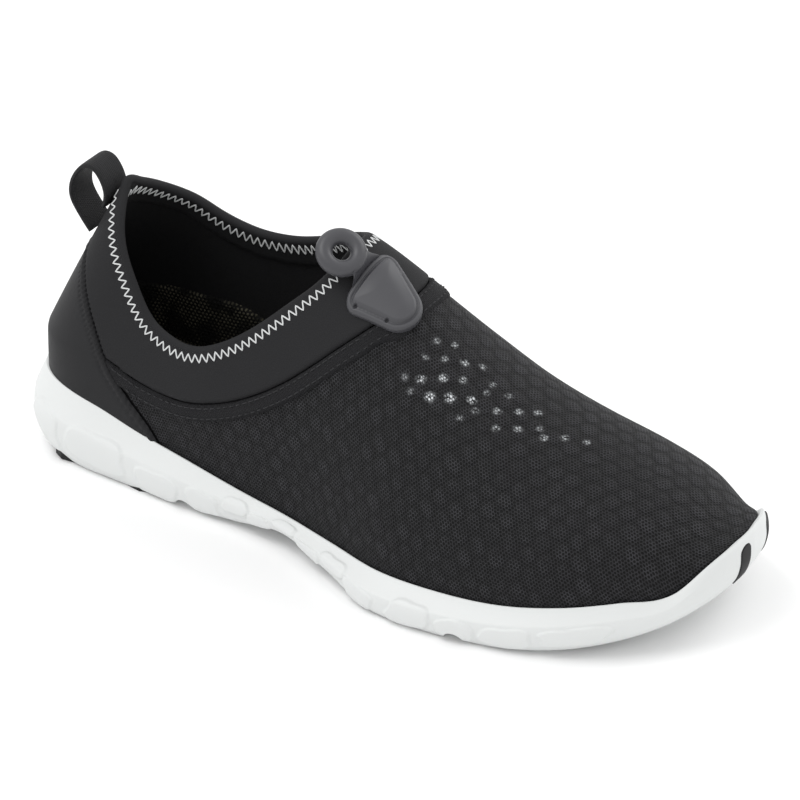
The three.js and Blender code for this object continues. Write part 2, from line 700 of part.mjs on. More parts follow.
function meshOf(solid, name, color, roughness) {
  const data = solid.getMesh();
  const geometry = new THREE.BufferGeometry();
  geometry.setAttribute('position', new THREE.BufferAttribute(data.vertProperties, 3));
  geometry.setIndex(new THREE.BufferAttribute(data.triVerts, 1));
  geometry.computeVertexNormals();
  const mesh = new THREE.Mesh(geometry, new THREE.MeshStandardMaterial({ color, roughness }));
  mesh.name = name;
  return mesh;
}

const foam = 0xe8ecec;
const rubber = 0x1b1c1e;
const knit = 0x1c1d20;
const cloth = 0x2b2b2e;
const grey = 0x55555c;

const shoe = new THREE.Group();
shoe.position.x = -heelCentre;
shoe.add(meshOf(makeSole(), 'sole', foam, 0.6));
treadRows.forEach((row) => shoe.add(meshOf(makeTread(row), row.name, rubber, 0.7)));
tabRows.forEach((row) => shoe.add(meshOf(makeTab(row), row.name, rubber, 0.7)));
shoe.add(meshOf(makeInsole(), 'insole', knit, 0.9));
shoe.add(meshOf(makeUpper(), 'upper', knit, 0.9));
shoe.add(meshOf(makeCuff(), 'cuff', cloth, 0.8));
shoe.add(meshOf(makeTape(), 'seam_tape', knit, 0.9));
shoe.add(meshOf(makeCounter(), 'heel_counter', cloth, 0.7));
shoe.add(meshOf(makeLoop(), 'pull_loop', cloth, 0.7));
shoe.add(meshOf(makeThroatTab(), 'throat_tab', grey, 0.45));

export default shoe;
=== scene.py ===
"""Looks of a slip-on water shoe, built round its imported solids.

Shapes are worked out in millimetres from the heel's end, like the solids, and turned into
metres in the shared frame as each mesh is made.
"""

import math

import bpy
import numpy as np
from mathutils import Matrix, Vector


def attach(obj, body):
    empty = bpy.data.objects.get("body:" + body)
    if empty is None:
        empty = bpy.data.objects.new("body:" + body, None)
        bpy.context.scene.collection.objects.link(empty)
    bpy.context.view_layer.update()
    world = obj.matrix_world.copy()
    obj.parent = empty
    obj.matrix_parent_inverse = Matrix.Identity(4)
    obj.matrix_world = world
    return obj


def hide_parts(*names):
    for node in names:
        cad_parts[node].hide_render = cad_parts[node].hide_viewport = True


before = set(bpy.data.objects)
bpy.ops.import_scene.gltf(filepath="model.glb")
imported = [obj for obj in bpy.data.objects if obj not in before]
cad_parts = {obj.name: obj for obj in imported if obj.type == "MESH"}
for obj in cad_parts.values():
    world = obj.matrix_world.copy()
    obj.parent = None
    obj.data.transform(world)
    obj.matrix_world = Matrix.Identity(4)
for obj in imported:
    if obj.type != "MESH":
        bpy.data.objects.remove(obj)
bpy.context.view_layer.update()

# Sizes in mm, and the shares and powers of the curves, as in the solids
LENGTH, BALL, INSTEP, HEEL, SOLE = 290.0, 93.5, 92.0, 103.0, 31.0
HEEL_ROUND, TOE_ROUND, RIM_INSET, HEEL_CENTRE = 34.0, 62.0, 3.0, 45.0
HEEL_LEAN, LEAN_FROM, LEAN_POWER, LEAN_REACH = 23.3, 0.437, 1.0, 0.414
OUTER_ROUND, INNER_ROUND, HEEL_POWER, TOE_POWER, TOE_DOME = 1.91, 2.32, 2.34, 2.33, 4.0
GAP, WALL, CUFF, COUNTER_WALL, TAPE_WALL, TAPE_WIDTH = 0.3, 1.4, 0.9, 1.2, 0.8, 6.5
RIM_LIP, LINE_REACH, LINE_TOP, TREAD_PROUD = 1.4, 26.0, 0.45, 0.6
FLEX_AT, FLEX_RADIUS, STONE_RISE = (0.282, 0.720), 4.2, 0.7

# Camera of the photo: degrees, metres, millimetres of lens and sensor, and pixels
AZIMUTH, ELEVATION, CAMERA_AWAY, LENS, SENSOR, PHOTO_SIDE = 31.5, 32.5, 1.246, 154.2, 36.0, 800
CAMERA_TARGET = (0.10317, 0.00618, 0.04568)

# Sections of the last and the sole: at, half, bend, ridge, crown, rim, bed, under, flare.
# The rim is a little higher at the toe than that of the solids.
LAST = [
    (0, 0.34, 0.015, 0.04, 1.19, 0.93, 0.68, 0.22, 0.28),
    (0.05, 0.335, 0.016, 0.05, 1.175, 0.955, 0.66, 0.055, 0.28),
    (0.12, 0.332, 0.017, 0.07, 1.165, 0.87, 0.62, 0, 0.275),
    (0.2, 0.346, 0.016, 0.09, 1.18, 0.705, 0.56, 0, 0.255),
    (0.28, 0.364, 0.01, 0.105, 1.2, 0.605, 0.49, 0.01, 0.21),
    (0.36, 0.368, -0.005, 0.12, 1.165, 0.49, 0.39, 0.06, 0.16),
    (0.44, 0.378, -0.023, 0.128, 1.098, 0.425, 0.33, 0.19, 0.15),
    (0.52, 0.425, -0.043, 0.11, 0.975, 0.432, 0.31, 0.095, 0.2),
    (0.6, 0.481, -0.06, 0.08, 0.838, 0.458, 0.3, 0, 0.267),
    (0.68, 0.496, -0.055, 0.06, 0.718, 0.48, 0.3, 0, 0.255),
    (0.76, 0.491, -0.033, 0.066, 0.625, 0.515, 0.33, 0, 0.212),
    (0.84, 0.475, 0.011, 0.07, 0.56, 0.612, 0.38, 0.065, 0.182),
    (0.9, 0.462, 0.059, 0.072, 0.518, 0.69, 0.46, 0.174, 0.166),
    (0.95, 0.449, 0.089, 0.08, 0.47, 0.75, 0.56, 0.34, 0.153),
    (0.98, 0.441, 0.102, 0.092, 0.44, 1.07, 0.66, 0.503, 0.145),
    (1, 0.436, 0.111, 0.1, 0.42, 1.24, 0.72, 0.616, 0.139),
]
# Lines in side view: at, and the heights on the outer and the inner side
COLLAR = [
    (0.069, 1.222, 1.222),
    (0.115, 1.051, 1.085),
    (0.138, 0.904, 1.003),
    (0.167, 0.783, 0.94),
    (0.2, 0.677, 0.871),
    (0.235, 0.639, 0.832),
    (0.269, 0.64, 0.824),
    (0.303, 0.679, 0.844),
    (0.345, 0.76, 0.904),
    (0.388, 0.877, 0.991),
    (0.421, 0.984, 1.067),
    (0.434, 1.057, 1.124),
    (0.448, 1.273, 1.318),
]
SEAM = [
    (0, 0.6, 0.64),
    (0.06, 0.568, 0.609),
    (0.11, 0.503, 0.544),
    (0.153, 0.458, 0.498),
    (0.199, 0.424, 0.472),
    (0.262, 0.425, 0.48),
    (0.313, 0.467, 0.519),
    (0.36, 0.536, 0.58),
    (0.411, 0.647, 0.687),
    (0.466, 0.805, 0.834),
    (0.506, 0.912, 0.929),
    (0.533, 0.985, 0.996),
    (0.555, 1.108, 1.12),
]
COUNTER = [
    (0, 0.8, 0.8),
    (0.06, 0.812, 0.812),
    (0.076, 0.799, 0.799),
    (0.101, 0.676, 0.676),
    (0.119, 0.582, 0.582),
    (0.142, 0.457, 0.457),
    (0.17, 0.362, 0.362),
    (0.214, 0.253, 0.253),
    (0.246, 0.159, 0.159),
    (0.62, 0.022, 0.022),
]
# The side of the sole from bottom to rim: level, and offsets at the side, heel and toe
SIDE = [
    (0, -0.06, -0.13, -0.09),
    (0.14, -0.015, -0.01, -0.02),
    (0.38, 0, 0.075, 0.02),
    (0.66, -0.015, 0.06, 0.015),
    (0.88, -0.06, 0.015, 0),
    (1, -0.09, -0.02, -0.03),
]
# Raised stones: at, level, length, height and tilt
STONES = [
    (0.06, 0.4, 0.06, 0.62, 0.1),
    (0.15, 0.42, 0.096, 0.6, 0),
    (0.246, 0.32, 0.066, 0.58, 0.15),
    (0.317, 0.34, 0.05, 0.58, -0.12),
    (0.368, 0.58, 0.04, 0.44, 0.1),
    (0.405, 0.36, 0.036, 0.5, -0.1),
    (0.446, 0.6, 0.038, 0.42, 0.2),
    (0.49, 0.36, 0.044, 0.5, -0.15),
    (0.537, 0.58, 0.046, 0.44, 0.15),
    (0.585, 0.36, 0.05, 0.56, -0.1),
    (0.66, 0.4, 0.058, 0.68, 0.3),
    (0.722, 0.36, 0.05, 0.5, -0.1),
    (0.784, 0.34, 0.062, 0.52, 0),
    (0.86, 0.38, 0.076, 0.46, 0.1),
]


def camera_axes():
    """Right, up and back of the camera."""
    azimuth, elevation = math.radians(AZIMUTH), math.radians(ELEVATION)
    flat = math.cos(elevation)
    back = Vector((math.sin(azimuth) * flat, -math.cos(azimuth) * flat, math.sin(elevation)))
    right = Vector((math.cos(azimuth), math.sin(azimuth), 0))
    return right, back.cross(right), back


def hermite(rows, col, at):
    """A column of a table at a share of its first column, as in the solids."""
    table = np.array(rows, float)
    keys, values = table[:, 0], table[:, col]
    q = np.clip(at, keys[0], keys[-1])
    i = np.clip(np.searchsorted(keys, q, side="left") - 1, 0, len(keys) - 2)
    slope = np.diff(values) / np.diff(keys)
    tangent = np.concatenate([slope[:1], (slope[:-1] + slope[1:]) / 2, slope[-1:]])
    span = keys[i + 1] - keys[i]
    t = (q - keys[i]) / span
    t2, t3 = t * t, t * t * t
    return ((2 * t3 - 3 * t2 + 1) * values[i] + (t3 - 2 * t2 + t) * span * tangent[i]
            + (3 * t2 - 2 * t3) * values[i + 1] + (t3 - t2) * span * tangent[i + 1])


def section(size, col):
    """The function that gives a column of the sections, in mm, at a place along the shoe."""
    def value(x):
        return size * hermite(LAST, col, x / LENGTH)

    return value


half = section(BALL, 1)
bend = section(BALL, 2)
ridge = section(BALL, 3)
crown = section(INSTEP, 4)
rim = section(SOLE, 5)
bed = section(SOLE, 6)
flare = section(SOLE, 8)


def under(x):
    return SOLE * np.maximum(0, hermite(LAST, 7, x / LENGTH))


def smooth(value, low, high):
    t = np.clip((value - low) / (high - low), 0, 1)
    return t * t * (3 - 2 * t)


def closing(x, low, high, heel, toe):
    """Share of the full width where an outline closes at the heel and the toe."""
    h = np.clip(1 - (x - low) / heel, 0, 1)
    t = np.clip(1 - (high - x) / toe, 0, 1)
    return (1 - h ** HEEL_POWER) ** (1 / HEEL_POWER) * (1 - t ** TOE_POWER) ** (1 / TOE_POWER)


def lean(x, z):
    """How far the heel's back leans forward at a height."""
    height = np.clip(z / (LEAN_FROM * HEEL) - 1, 0, 1.3)
    return HEEL_LEAN * height ** LEAN_POWER * np.clip(1 - x / (LEAN_REACH * LENGTH), 0, 1)


def upper_point(x, turn, grow=0.0):
    """A place on the upper; turns below 0 or above pi go down its foot into the sole."""
    low, high = RIM_INSET - grow, LENGTH - RIM_INSET + grow
    deep = np.maximum(np.maximum(-turn, turn - math.pi), 0)
    turn = np.clip(turn, 0, math.pi)
    opened = closing(x, low, high, HEEL_ROUND + grow, TOE_ROUND + grow)
    width = (half(x) + grow) * opened
    inner = OUTER_ROUND + (INNER_ROUND - OUTER_ROUND) * opened
    power = np.where(turn > math.pi / 2, inner, OUTER_ROUND)
    rise = np.abs(np.sin(turn)) ** (2 / power)
    reach = np.sign(np.cos(turn)) * np.abs(np.cos(turn)) ** (2 / power)
    toe = np.clip(1 - (high - x) / (TOE_ROUND + grow), 0, 1)
    top = (crown(x) + grow - rim(x)) * np.sqrt(1 - toe ** TOE_DOME)
    z = rim(x) + top * rise
    y = bend(x) + (ridge(x) - bend(x)) * rise * opened - width * reach
    return np.stack([x + lean(x, z), y, z - deep * (rim(x) - bed(x))], -1)


def line_distance(rows, points):
    """Distance below a line of the side view, about square to it."""
    x, y, z = points[..., 0], points[..., 1], points[..., 2]
    at = x / LENGTH
    share = (y - bend(x)) / LINE_REACH

    def height(q):
        outer, inner = hermite(rows, 1, q), hermite(rows, 2, q)
        scale = HEEL + (INSTEP - HEEL) * np.clip(q / LINE_TOP, 0, 1)
        return scale * ((outer + inner) / 2 + share * (inner - outer) / 2)

    step = 0.002
    slope = (height(at + step) - height(at - step)) / (2 * step * LENGTH)
    return (height(at) - z) / np.sqrt(1 + slope ** 2)


# Meshes are tables with a row for each point: its place, its normal, its place on the cloth,
# and its distances from the lines in mm
PLACE, NORMAL = slice(0, 3), slice(3, 6)
ALONG, AROUND, TO_COLLAR, TO_SEAM, TO_COUNTER, TO_RIM = range(6, 12)


def grid_faces(rows, cols, closed=False):
    i, j = np.meshgrid(np.arange(rows - 1), np.arange(cols if closed else cols - 1), indexing="ij")
    a = (i * cols + j).ravel()
    b = (i * cols + (j + 1) % cols).ravel()
    c, d = b + cols, a + cols
    return np.concatenate([np.stack([a, b, c], -1), np.stack([a, c, d], -1)])


def normals(points, tris):
    a, b, c = points[tris[:, 0]], points[tris[:, 1]], points[tris[:, 2]]
    face = np.cross(b - a, c - a)
    total = np.zeros_like(points)
    for k in range(3):
        np.add.at(total, tris[:, k], face)
    return total / np.maximum(np.linalg.norm(total, axis=1, keepdims=True), 1e-12)


def turned_to(points, tris, toward):
    """Triangles and normals of a surface, turned to the side of the directions given."""
    normal = normals(points, tris)
    if (normal * toward).sum() < 0:
        return tris[:, ::-1], -normal
    return tris, normal


def upper_grid(x_places, turns):
    """The upper's outer surface with its normals, its cloth coordinates and its distances."""
    x, turn = np.meshgrid(x_places, turns, indexing="ij")
    points = upper_point(x, turn)
    steps = np.linalg.norm(np.diff(points, axis=1), axis=2)
    around = np.concatenate([np.zeros((len(x_places), 1)), np.cumsum(steps, 1)], 1)
    middle = np.array([np.interp(math.pi / 2, turns, row) for row in around])
    around = around - middle[:, None]
    flat = points.reshape(-1, 3)
    centre = np.stack([flat[:, 0], bend(flat[:, 0]), flat[:, 2] * 0.5], -1)
    tris, normal = turned_to(flat, grid_faces(*x.shape), flat - centre)
    collar = line_distance(COLLAR, flat)
    seam = -line_distance(SEAM, flat)
    counter = line_distance(COUNTER, flat)
    table = np.column_stack([flat, normal, flat[:, 0], around.ravel(), collar, seam, counter,
                             flat[:, 2] - rim(flat[:, 0])])
    return table, tris


def clip(table, tris, col, level=0.0, above=True):
    """The part of a mesh where a column is above a level, or below it."""
    s = (table[:, col] - level) * (1 if above else -1)
    inside = s[tris] >= 0
    count = inside.sum(1)
    kept = [tris[count == 3]]
    ends, rolled = [], {}
    for wanted, first in ((1, True), (2, False)):
        part, flags = tris[count == wanted], inside[count == wanted]
        start = np.argmax(flags == first, axis=1) if len(part) else np.zeros(0, int)
        rolled[wanted] = part[np.arange(len(part))[:, None], (start[:, None] + np.arange(3)) % 3]
        ends += [rolled[wanted][:, [0, 1]], rolled[wanted][:, [0, 2]]]
    pairs = np.sort(np.concatenate(ends), axis=1)
    if len(pairs):
        unique, place = np.unique(pairs, axis=0, return_inverse=True)
        place = place.ravel() + len(table)
        t = s[unique[:, 0]] / (s[unique[:, 0]] - s[unique[:, 1]])
        fresh = table[unique[:, 0]] * (1 - t[:, None]) + table[unique[:, 1]] * t[:, None]
        table = np.concatenate([table, fresh])
        sizes = np.cumsum([0] + [len(e) for e in ends])
        one_b, one_c, two_b, two_c = (place[sizes[k]:sizes[k + 1]] for k in range(4))
        one, two = rolled[1], rolled[2]
        kept += [np.stack([one[:, 0], one_b, one_c], -1), np.stack([two_b, two[:, 1], two[:, 2]], -1),
                 np.stack([two_b, two[:, 2], two_c], -1)]
    tris = np.concatenate(kept)
    used, tris = np.unique(tris, return_inverse=True)
    return table[used], tris.reshape(-1, 3)


def cut(mesh, *limits):
    for col, level, above in limits:
        mesh = clip(*mesh, col, level, above)
    return mesh


def iso_lines(table, tris, col, level):
    """Chains of points along the line where a column has a value, longest first."""
    s = table[:, col] - level
    sign = s[tris] >= 0
    crossed = tris[(sign.sum(1) > 0) & (sign.sum(1) < 3)]
    links = {}
    for tri in crossed:
        hits = [tuple(sorted((tri[k], tri[(k + 1) % 3]))) for k in range(3)
                if (s[tri[k]] >= 0) != (s[tri[(k + 1) % 3]] >= 0)]
        if len(hits) == 2:
            links.setdefault(hits[0], []).append(hits[1])
            links.setdefault(hits[1], []).append(hits[0])
    chains, seen = [], set()
    for start in sorted(links, key=lambda k: (len(links[k]), k)):
        if start in seen:
            continue
        chain, here = [], start
        while here is not None:
            chain.append(here)
            seen.add(here)
            here = next((k for k in links[here] if k not in seen), None)
        chains.append(np.array(chain))
    found = []
    for chain in chains:
        a, b = chain[:, 0], chain[:, 1]
        t = (s[a] / (s[a] - s[b]))[:, None]
        found.append(table[a] * (1 - t) + table[b] * t)
    return sorted(found, key=len, reverse=True)


def resample(line, count, closed):
    """A line at even steps, and its length."""
    ends = np.concatenate([line, line[:1]]) if closed else line
    steps = np.linalg.norm(np.diff(ends[:, PLACE], axis=0), axis=1)
    run = np.concatenate([[0], np.cumsum(steps)])
    places = np.linspace(0, run[-1], count, endpoint=not closed)
    return np.stack([np.interp(places, run, ends[:, k]) for k in range(ends.shape[1])], -1), run[-1]


def soften(line, passes, closed):
    """A line with small steps taken out."""
    out = line.copy()
    for _ in range(passes):
        if closed:
            out = (np.roll(out, 1, 0) + 2 * out + np.roll(out, -1, 0)) / 4
        else:
            out[1:-1] = (out[:-2] + 2 * out[1:-1] + out[2:]) / 4
    return out


def frames(line, closed):
    """Unit normals and directions down the surface, square to the line."""
    if closed:
        along = np.roll(line[:, PLACE], -1, 0) - np.roll(line[:, PLACE], 1, 0)
    else:
        along = np.gradient(line[:, PLACE], axis=0)
    along /= np.linalg.norm(along, axis=1, keepdims=True)
    normal = line[:, NORMAL] / np.linalg.norm(line[:, NORMAL], axis=1, keepdims=True)
    side = np.cross(normal, along)
    side /= np.linalg.norm(side, axis=1, keepdims=True)
    if side[:, 2].sum() > 0:
        side = -side
    return normal, side


def add_mesh(name, points, tris, material, slot, replaces=(), uv=None, values=None):
    """A shown piece from points in mm."""
    mesh = bpy.data.meshes.new(name)
    metres = (np.asarray(points, float) - [HEEL_CENTRE, 0, 0]) / 1000
    tris = np.asarray(tris, np.int32)
    mesh.vertices.add(len(metres))
    mesh.vertices.foreach_set("co", metres.astype(np.float32).ravel())
    mesh.loops.add(tris.size)
    mesh.loops.foreach_set("vertex_index", tris.ravel())
    mesh.polygons.add(len(tris))
    mesh.polygons.foreach_set("loop_start", np.arange(0, tris.size, 3, dtype=np.int32))
    mesh.polygons.foreach_set("loop_total", np.full(len(tris), 3, np.int32))
    mesh.polygons.foreach_set("use_smooth", np.full(len(tris), True))
    if uv is not None:
        layer = mesh.uv_layers.new(name="cloth")
        layer.data.foreach_set("uv", np.asarray(uv, np.float32)[tris.ravel()].ravel())
    for key, value in (values or {}).items():
        mesh.attributes.new(key, "FLOAT", "POINT").data.foreach_set("value", value.astype(np.float32))
    mesh.update()
    mesh.validate()
    piece = bpy.data.objects.new(name, mesh)
    bpy.context.scene.collection.objects.link(piece)
    mesh.materials.append(material)
    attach(piece, "root")
    if replaces:
        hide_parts(*replaces)


def joined(parts):
    """Several meshes as one."""
    points, tris, start = [], [], 0
    for p, t in parts:
        points.append(p)
        tris.append(t + start)
        start += len(p)
    return np.concatenate(points), np.concatenate(tris)


def sweep(centre, axis_a, axis_b, profile, closed_line, closed_profile=True, caps=False):
    """A profile of (a, b) pairs carried along a line with the two axes at each point."""
    prof = np.array(profile, float)
    ring = centre[:, None] + axis_a[:, None] * prof[None, :, :1] + axis_b[:, None] * prof[None, :, 1:]
    rows, cols = ring.shape[:2]
    points = ring.reshape(-1, 3)
    if closed_line:
        tris = grid_faces(rows + 1, cols, closed_profile) % (rows * cols)
    else:
        tris = grid_faces(rows, cols, closed_profile)
        if caps:
            points = np.concatenate([points, ring[0].mean(0)[None], ring[-1].mean(0)[None]])
            j = np.arange(cols)
            k = (j + 1) % cols
            first, last = len(points) - 2, len(points) - 1
            end = (rows - 1) * cols
            tris = np.concatenate([tris, np.stack([k, j, np.full(cols, first)], -1),
                                   np.stack([end + j, end + k, np.full(cols, last)], -1)])
    a, b, c = points[tris[:, 0]], points[tris[:, 1]], points[tris[:, 2]]
    if (np.cross(b - a, c - a) * (a - centre.mean(0))).sum() < 0 and closed_profile and not closed_line:
        tris = tris[:, ::-1]
    return points, tris


def circle(count, a, b=None):
    turn = 2 * math.pi * np.arange(count) / count
    return np.stack([a * np.cos(turn), (b or a) * np.sin(turn)], -1)


# Materials
class Shader:
    """A material's nodes, made with short calls."""

    def __init__(self, name, colour, roughness, **sockets):
        self.material = bpy.data.materials.new(name)
        self.material.use_nodes = True
        self.tree = self.material.node_tree
        self.bsdf = self.tree.nodes["Principled BSDF"]
        self.bsdf.inputs["Base Color"].default_value = (*colour, 1)
        self.bsdf.inputs["Roughness"].default_value = roughness
        for key, value in sockets.items():
            self.bsdf.inputs[key.replace("_", " ")].default_value = value
        self.height = None

    def node(self, kind, settings=(), **inputs):
        made = self.tree.nodes.new("ShaderNode" + kind)
        for key, value in dict(settings).items():
            setattr(made, key, value)
        for key, value in inputs.items():
            place = int(key[1:]) if key[0] == "i" and key[1:].isdigit() else key
            if isinstance(value, bpy.types.NodeSocket):
                self.tree.links.new(value, made.inputs[place])
            else:
                made.inputs[place].default_value = value
        return made

    def math(self, operation, a, b=0.0, c=0.0):
        return self.node("Math", {"operation": operation}, i0=a, i1=b, i2=c).outputs[0]

    def vector(self, operation, a, b=(0, 0, 0), c=(0, 0, 0)):
        made = self.node("VectorMath", {"operation": operation}, i0=a, i1=b, i2=c)
        return made.outputs["Value" if operation == "LENGTH" else "Vector"]

    def cloth(self):
        return self.node("UVMap", {"uv_map": "cloth"}).outputs[0]

    def value(self, name):
        return self.node("Attribute", {"attribute_name": name}).outputs["Fac"]

    def step(self, value, low, high):
        made = self.node("MapRange", {"interpolation_type": "SMOOTHSTEP"}, i0=value, i1=low, i2=high)
        return made.outputs[0]

    def honeycomb(self, place, pitch):
        """Distance to the nearest of the places of a honeycomb, in pitches."""
        row = math.sqrt(3) / 2
        scaled = self.vector("MULTIPLY", place, (1 / pitch, 1 / pitch, 0))
        found = []
        for shift in ((0, 0, 0), (0.5, row, 0)):
            moved = self.vector("ADD", scaled, shift)
            wrapped = self.vector("WRAP", moved, (0.5, row, 0), (-0.5, -row, 0))
            found.append(self.vector("LENGTH", wrapped))
        return self.math("MINIMUM", *found)

    def noise(self, place, scale, detail=3.0):
        return self.node("TexNoise", Vector=place, Scale=scale, Detail=detail).outputs[0]

    def blend(self, share, a, b):
        made = self.node("Mix", {"data_type": "RGBA"})
        for k, value in ((0, share), (6, a), (7, b)):
            if isinstance(value, bpy.types.NodeSocket):
                self.tree.links.new(value, made.inputs[k])
            else:
                made.inputs[k].default_value = value if k == 0 else (*value, 1)
        return made.outputs[2]

    def colour(self, value):
        self.tree.links.new(value, self.bsdf.inputs["Base Color"])

    def bump(self, height, distance, strength=1.0):
        inputs = {"Height": height, "Distance": distance, "Strength": strength}
        if self.height is not None:
            inputs["Normal"] = self.height
        self.height = self.node("Bump", **inputs).outputs[0]
        self.tree.links.new(self.height, self.bsdf.inputs["Normal"])


def knit_material():
    """A fine net over a second layer with larger round holes."""
    s = Shader("knit", (0.01, 0.01, 0.011), 0.62, Specular_IOR_Level=0.2)
    place = s.cloth()
    wander = s.node("TexNoise", Vector=place, Scale=0.35, Detail=2.0).outputs[1]
    near = s.honeycomb(s.vector("ADD", place, wander), 1.22)
    hole = s.step(near, 0.42, 0.24)
    slow = s.node("TexNoise", Vector=place, Scale=0.06, Detail=2.0).outputs[1]
    bent = s.vector("MULTIPLY_ADD", slow, (5.0, 5.0, 0.0), place)
    large = s.step(s.honeycomb(bent, 7.2), 0.50, 0.24)
    patchy = s.step(s.noise(place, 0.16), 0.35, 0.65)
    fine = s.noise(place, 1.1)
    thread = s.blend(fine, (0.008, 0.008, 0.009), (0.026, 0.026, 0.028))
    bright = s.blend(fine, (0.022, 0.022, 0.025), (0.060, 0.060, 0.066))
    # The second layer shows in random patches and, as painted light, more on the top and far side of the
    # forefoot.
    share = s.math("MULTIPLY", large, s.math("MULTIPLY_ADD", patchy, 0.5, s.value("layer_with_painted_light")))
    layer = s.blend(share, thread, bright)
    # The holes are near-black: the dark cloth under them, deepened with painted shade.
    dark = s.blend(hole, layer, (0.0008, 0.0008, 0.001))
    torn = s.step(s.noise(place, 0.9), 0.38, 0.52)
    # Painted light: near-white colour on the spots where light would shine through the holes of both layers.
    lit = s.math("MULTIPLY", s.step(near, 0.52, 0.34), s.math("MULTIPLY", torn, s.value("painted_see_through_light")))
    s.colour(s.blend(lit, dark, (0.75, 0.78, 0.80)))
    s.bump(s.math("SUBTRACT", 1.0, hole), 0.0006, 1.0)
    s.bump(large, 0.0009, 0.5)
    return s.material


def cloth_material(name, colour, grain, roughness=0.75, depth=0.0002, weave=0.0):
    s = Shader(name, colour, roughness, Specular_IOR_Level=0.25)
    place = s.cloth()
    fine = s.noise(place, grain, 4.0)
    lighter = tuple(1.9 * c for c in colour)
    s.colour(s.blend(s.step(fine, 0.35, 0.75), colour, lighter))
    s.bump(fine, depth, 0.6)
    if weave:
        s.bump(s.step(s.honeycomb(place, weave), 0.5, 0.2), depth, 0.8)
    return s.material


def foam_material():
    s = Shader("foam", (0.69, 0.705, 0.70), 0.5)
    place = s.node("TexCoord").outputs["Object"]
    s.bump(s.noise(place, 900.0, 2.0), 0.00008, 0.4)
    return s.material


def insole_material():
    """A light weave on a dark ground, with its places in millimetres."""
    s = Shader("insole_weave", (0.05, 0.045, 0.036), 0.8)
    place = s.vector("SCALE", s.node("TexCoord").outputs["Object"])
    place.node.inputs["Scale"].default_value = 1000.0
    near = s.honeycomb(place, 1.6)
    s.colour(s.blend(s.step(near, 0.45, 0.2), (0.006, 0.006, 0.005), (0.075, 0.068, 0.05)))
    s.bump(s.step(near, 0.5, 0.2), 0.0004)
    return s.material


def cup_material():
    """The insole's weave on its padded cup, lighter in patches."""
    s = Shader("cup_weave", (0.01, 0.01, 0.009), 0.8, Specular_IOR_Level=0.2)
    place = s.cloth()
    near = s.step(s.honeycomb(place, 1.7), 0.42, 0.18)
    lit = s.math("MULTIPLY", near, s.step(s.noise(place, 0.09), 0.40, 0.60))
    s.colour(s.blend(lit, (0.004, 0.004, 0.0035), (0.085, 0.078, 0.056)))
    s.bump(near, 0.0003)
    return s.material


foam = foam_material()
tread = Shader("tread", (0.01, 0.01, 0.011), 0.6, Specular_IOR_Level=0.3).material
tab_rubber = Shader("tab_rubber", (0.050, 0.050, 0.056), 0.42).material
thread_white = Shader("thread_white", (0.62, 0.63, 0.63), 0.6).material
thread_dark = Shader("thread_dark", (0.030, 0.030, 0.032), 0.7, Specular_IOR_Level=0.2).material
knit = knit_material()
cuff_cloth = cloth_material("cuff_cloth", (0.0095, 0.0095, 0.0105), 3.0)
counter_cloth = cloth_material("counter_cloth", (0.009, 0.009, 0.010), 4.0, 0.6)
tape_cloth = cloth_material("tape_cloth", (0.008, 0.008, 0.009), 2.0, 0.8, 0.0003, 0.9)
lining_cloth = cloth_material("lining_cloth", (0.006, 0.006, 0.0065), 2.0, 0.85)
webbing = cloth_material("webbing", (0.011, 0.011, 0.012), 2.0, 0.6, 0.0003, 1.0)
insole_weave = insole_material()
cup_weave = cup_material()


def places(low, high, count):
    """Places between two ends, closer together near the ends."""
    share = np.arange(count) / (count - 1)
    return low + (high - low) * (0.5 * share + 0.25 * (1 - np.cos(math.pi * share)))


def distance_to(points, line):
    """Distance of each point from a closed line."""
    run = np.roll(line, -1, 0) - line
    size = (run ** 2).sum(1)
    nearest = np.full(len(points), 1e9)
    for a, r, q in zip(line, run, size):
        t = np.clip(((points - a) @ r) / q, 0, 1)
        nearest = np.minimum(nearest, ((points - a - t[:, None] * r) ** 2).sum(1))
    return np.sqrt(nearest)


def dip(distance, width):
    """0 at an edge, 1 a little way in, with a round shoulder."""
    t = np.clip(distance / width, 0, 1)
    return np.sqrt(1 - (1 - t) ** 2)


def rounded(value, power):
    """A sine or cosine, raised so that its circle nears a square."""
    return math.copysign(abs(value) ** power, value)


# Upper: one fine surface, cut along its lines, with each cloth lifted to its own level
OUT_CUFF = GAP + CUFF
IN_CUFF = WALL + GAP + CUFF
EDGE = (OUT_CUFF + IN_CUFF) / 2
MEET = GAP / 2
NEAR_COLLAR = 40.0


def upper_surface():
    """The whole surface, with its true distance from the collar's line wherever that is near."""
    along = places(RIM_INSET, LENGTH - RIM_INSET, 400)
    foot = np.array([0.5, 0.99])
    turns = np.concatenate([-foot[::-1], np.linspace(0, math.pi, 170), math.pi + foot])
    table, tris = upper_grid(along, turns)
    line, _ = resample(iso_lines(table, tris, TO_COLLAR, 0.0)[0], 260, True)
    line = soften(line, 3, True)
    near = np.abs(table[:, TO_COLLAR]) < NEAR_COLLAR
    away = distance_to(table[near, PLACE], line[:, PLACE])
    table[near, TO_COLLAR] = np.sign(table[near, TO_COLLAR]) * away
    return table, tris


base = upper_surface()


def add_cloth(name, mesh, lift, material, slot, replaces=(), values=None):
    """A piece of the upper's surface, moved out by its lift."""
    table, tris = mesh
    points = table[:, PLACE] + table[:, NORMAL] * lift[:, None]
    add_mesh(name, points, tris, material, slot, replaces, table[:, [ALONG, AROUND]], values)
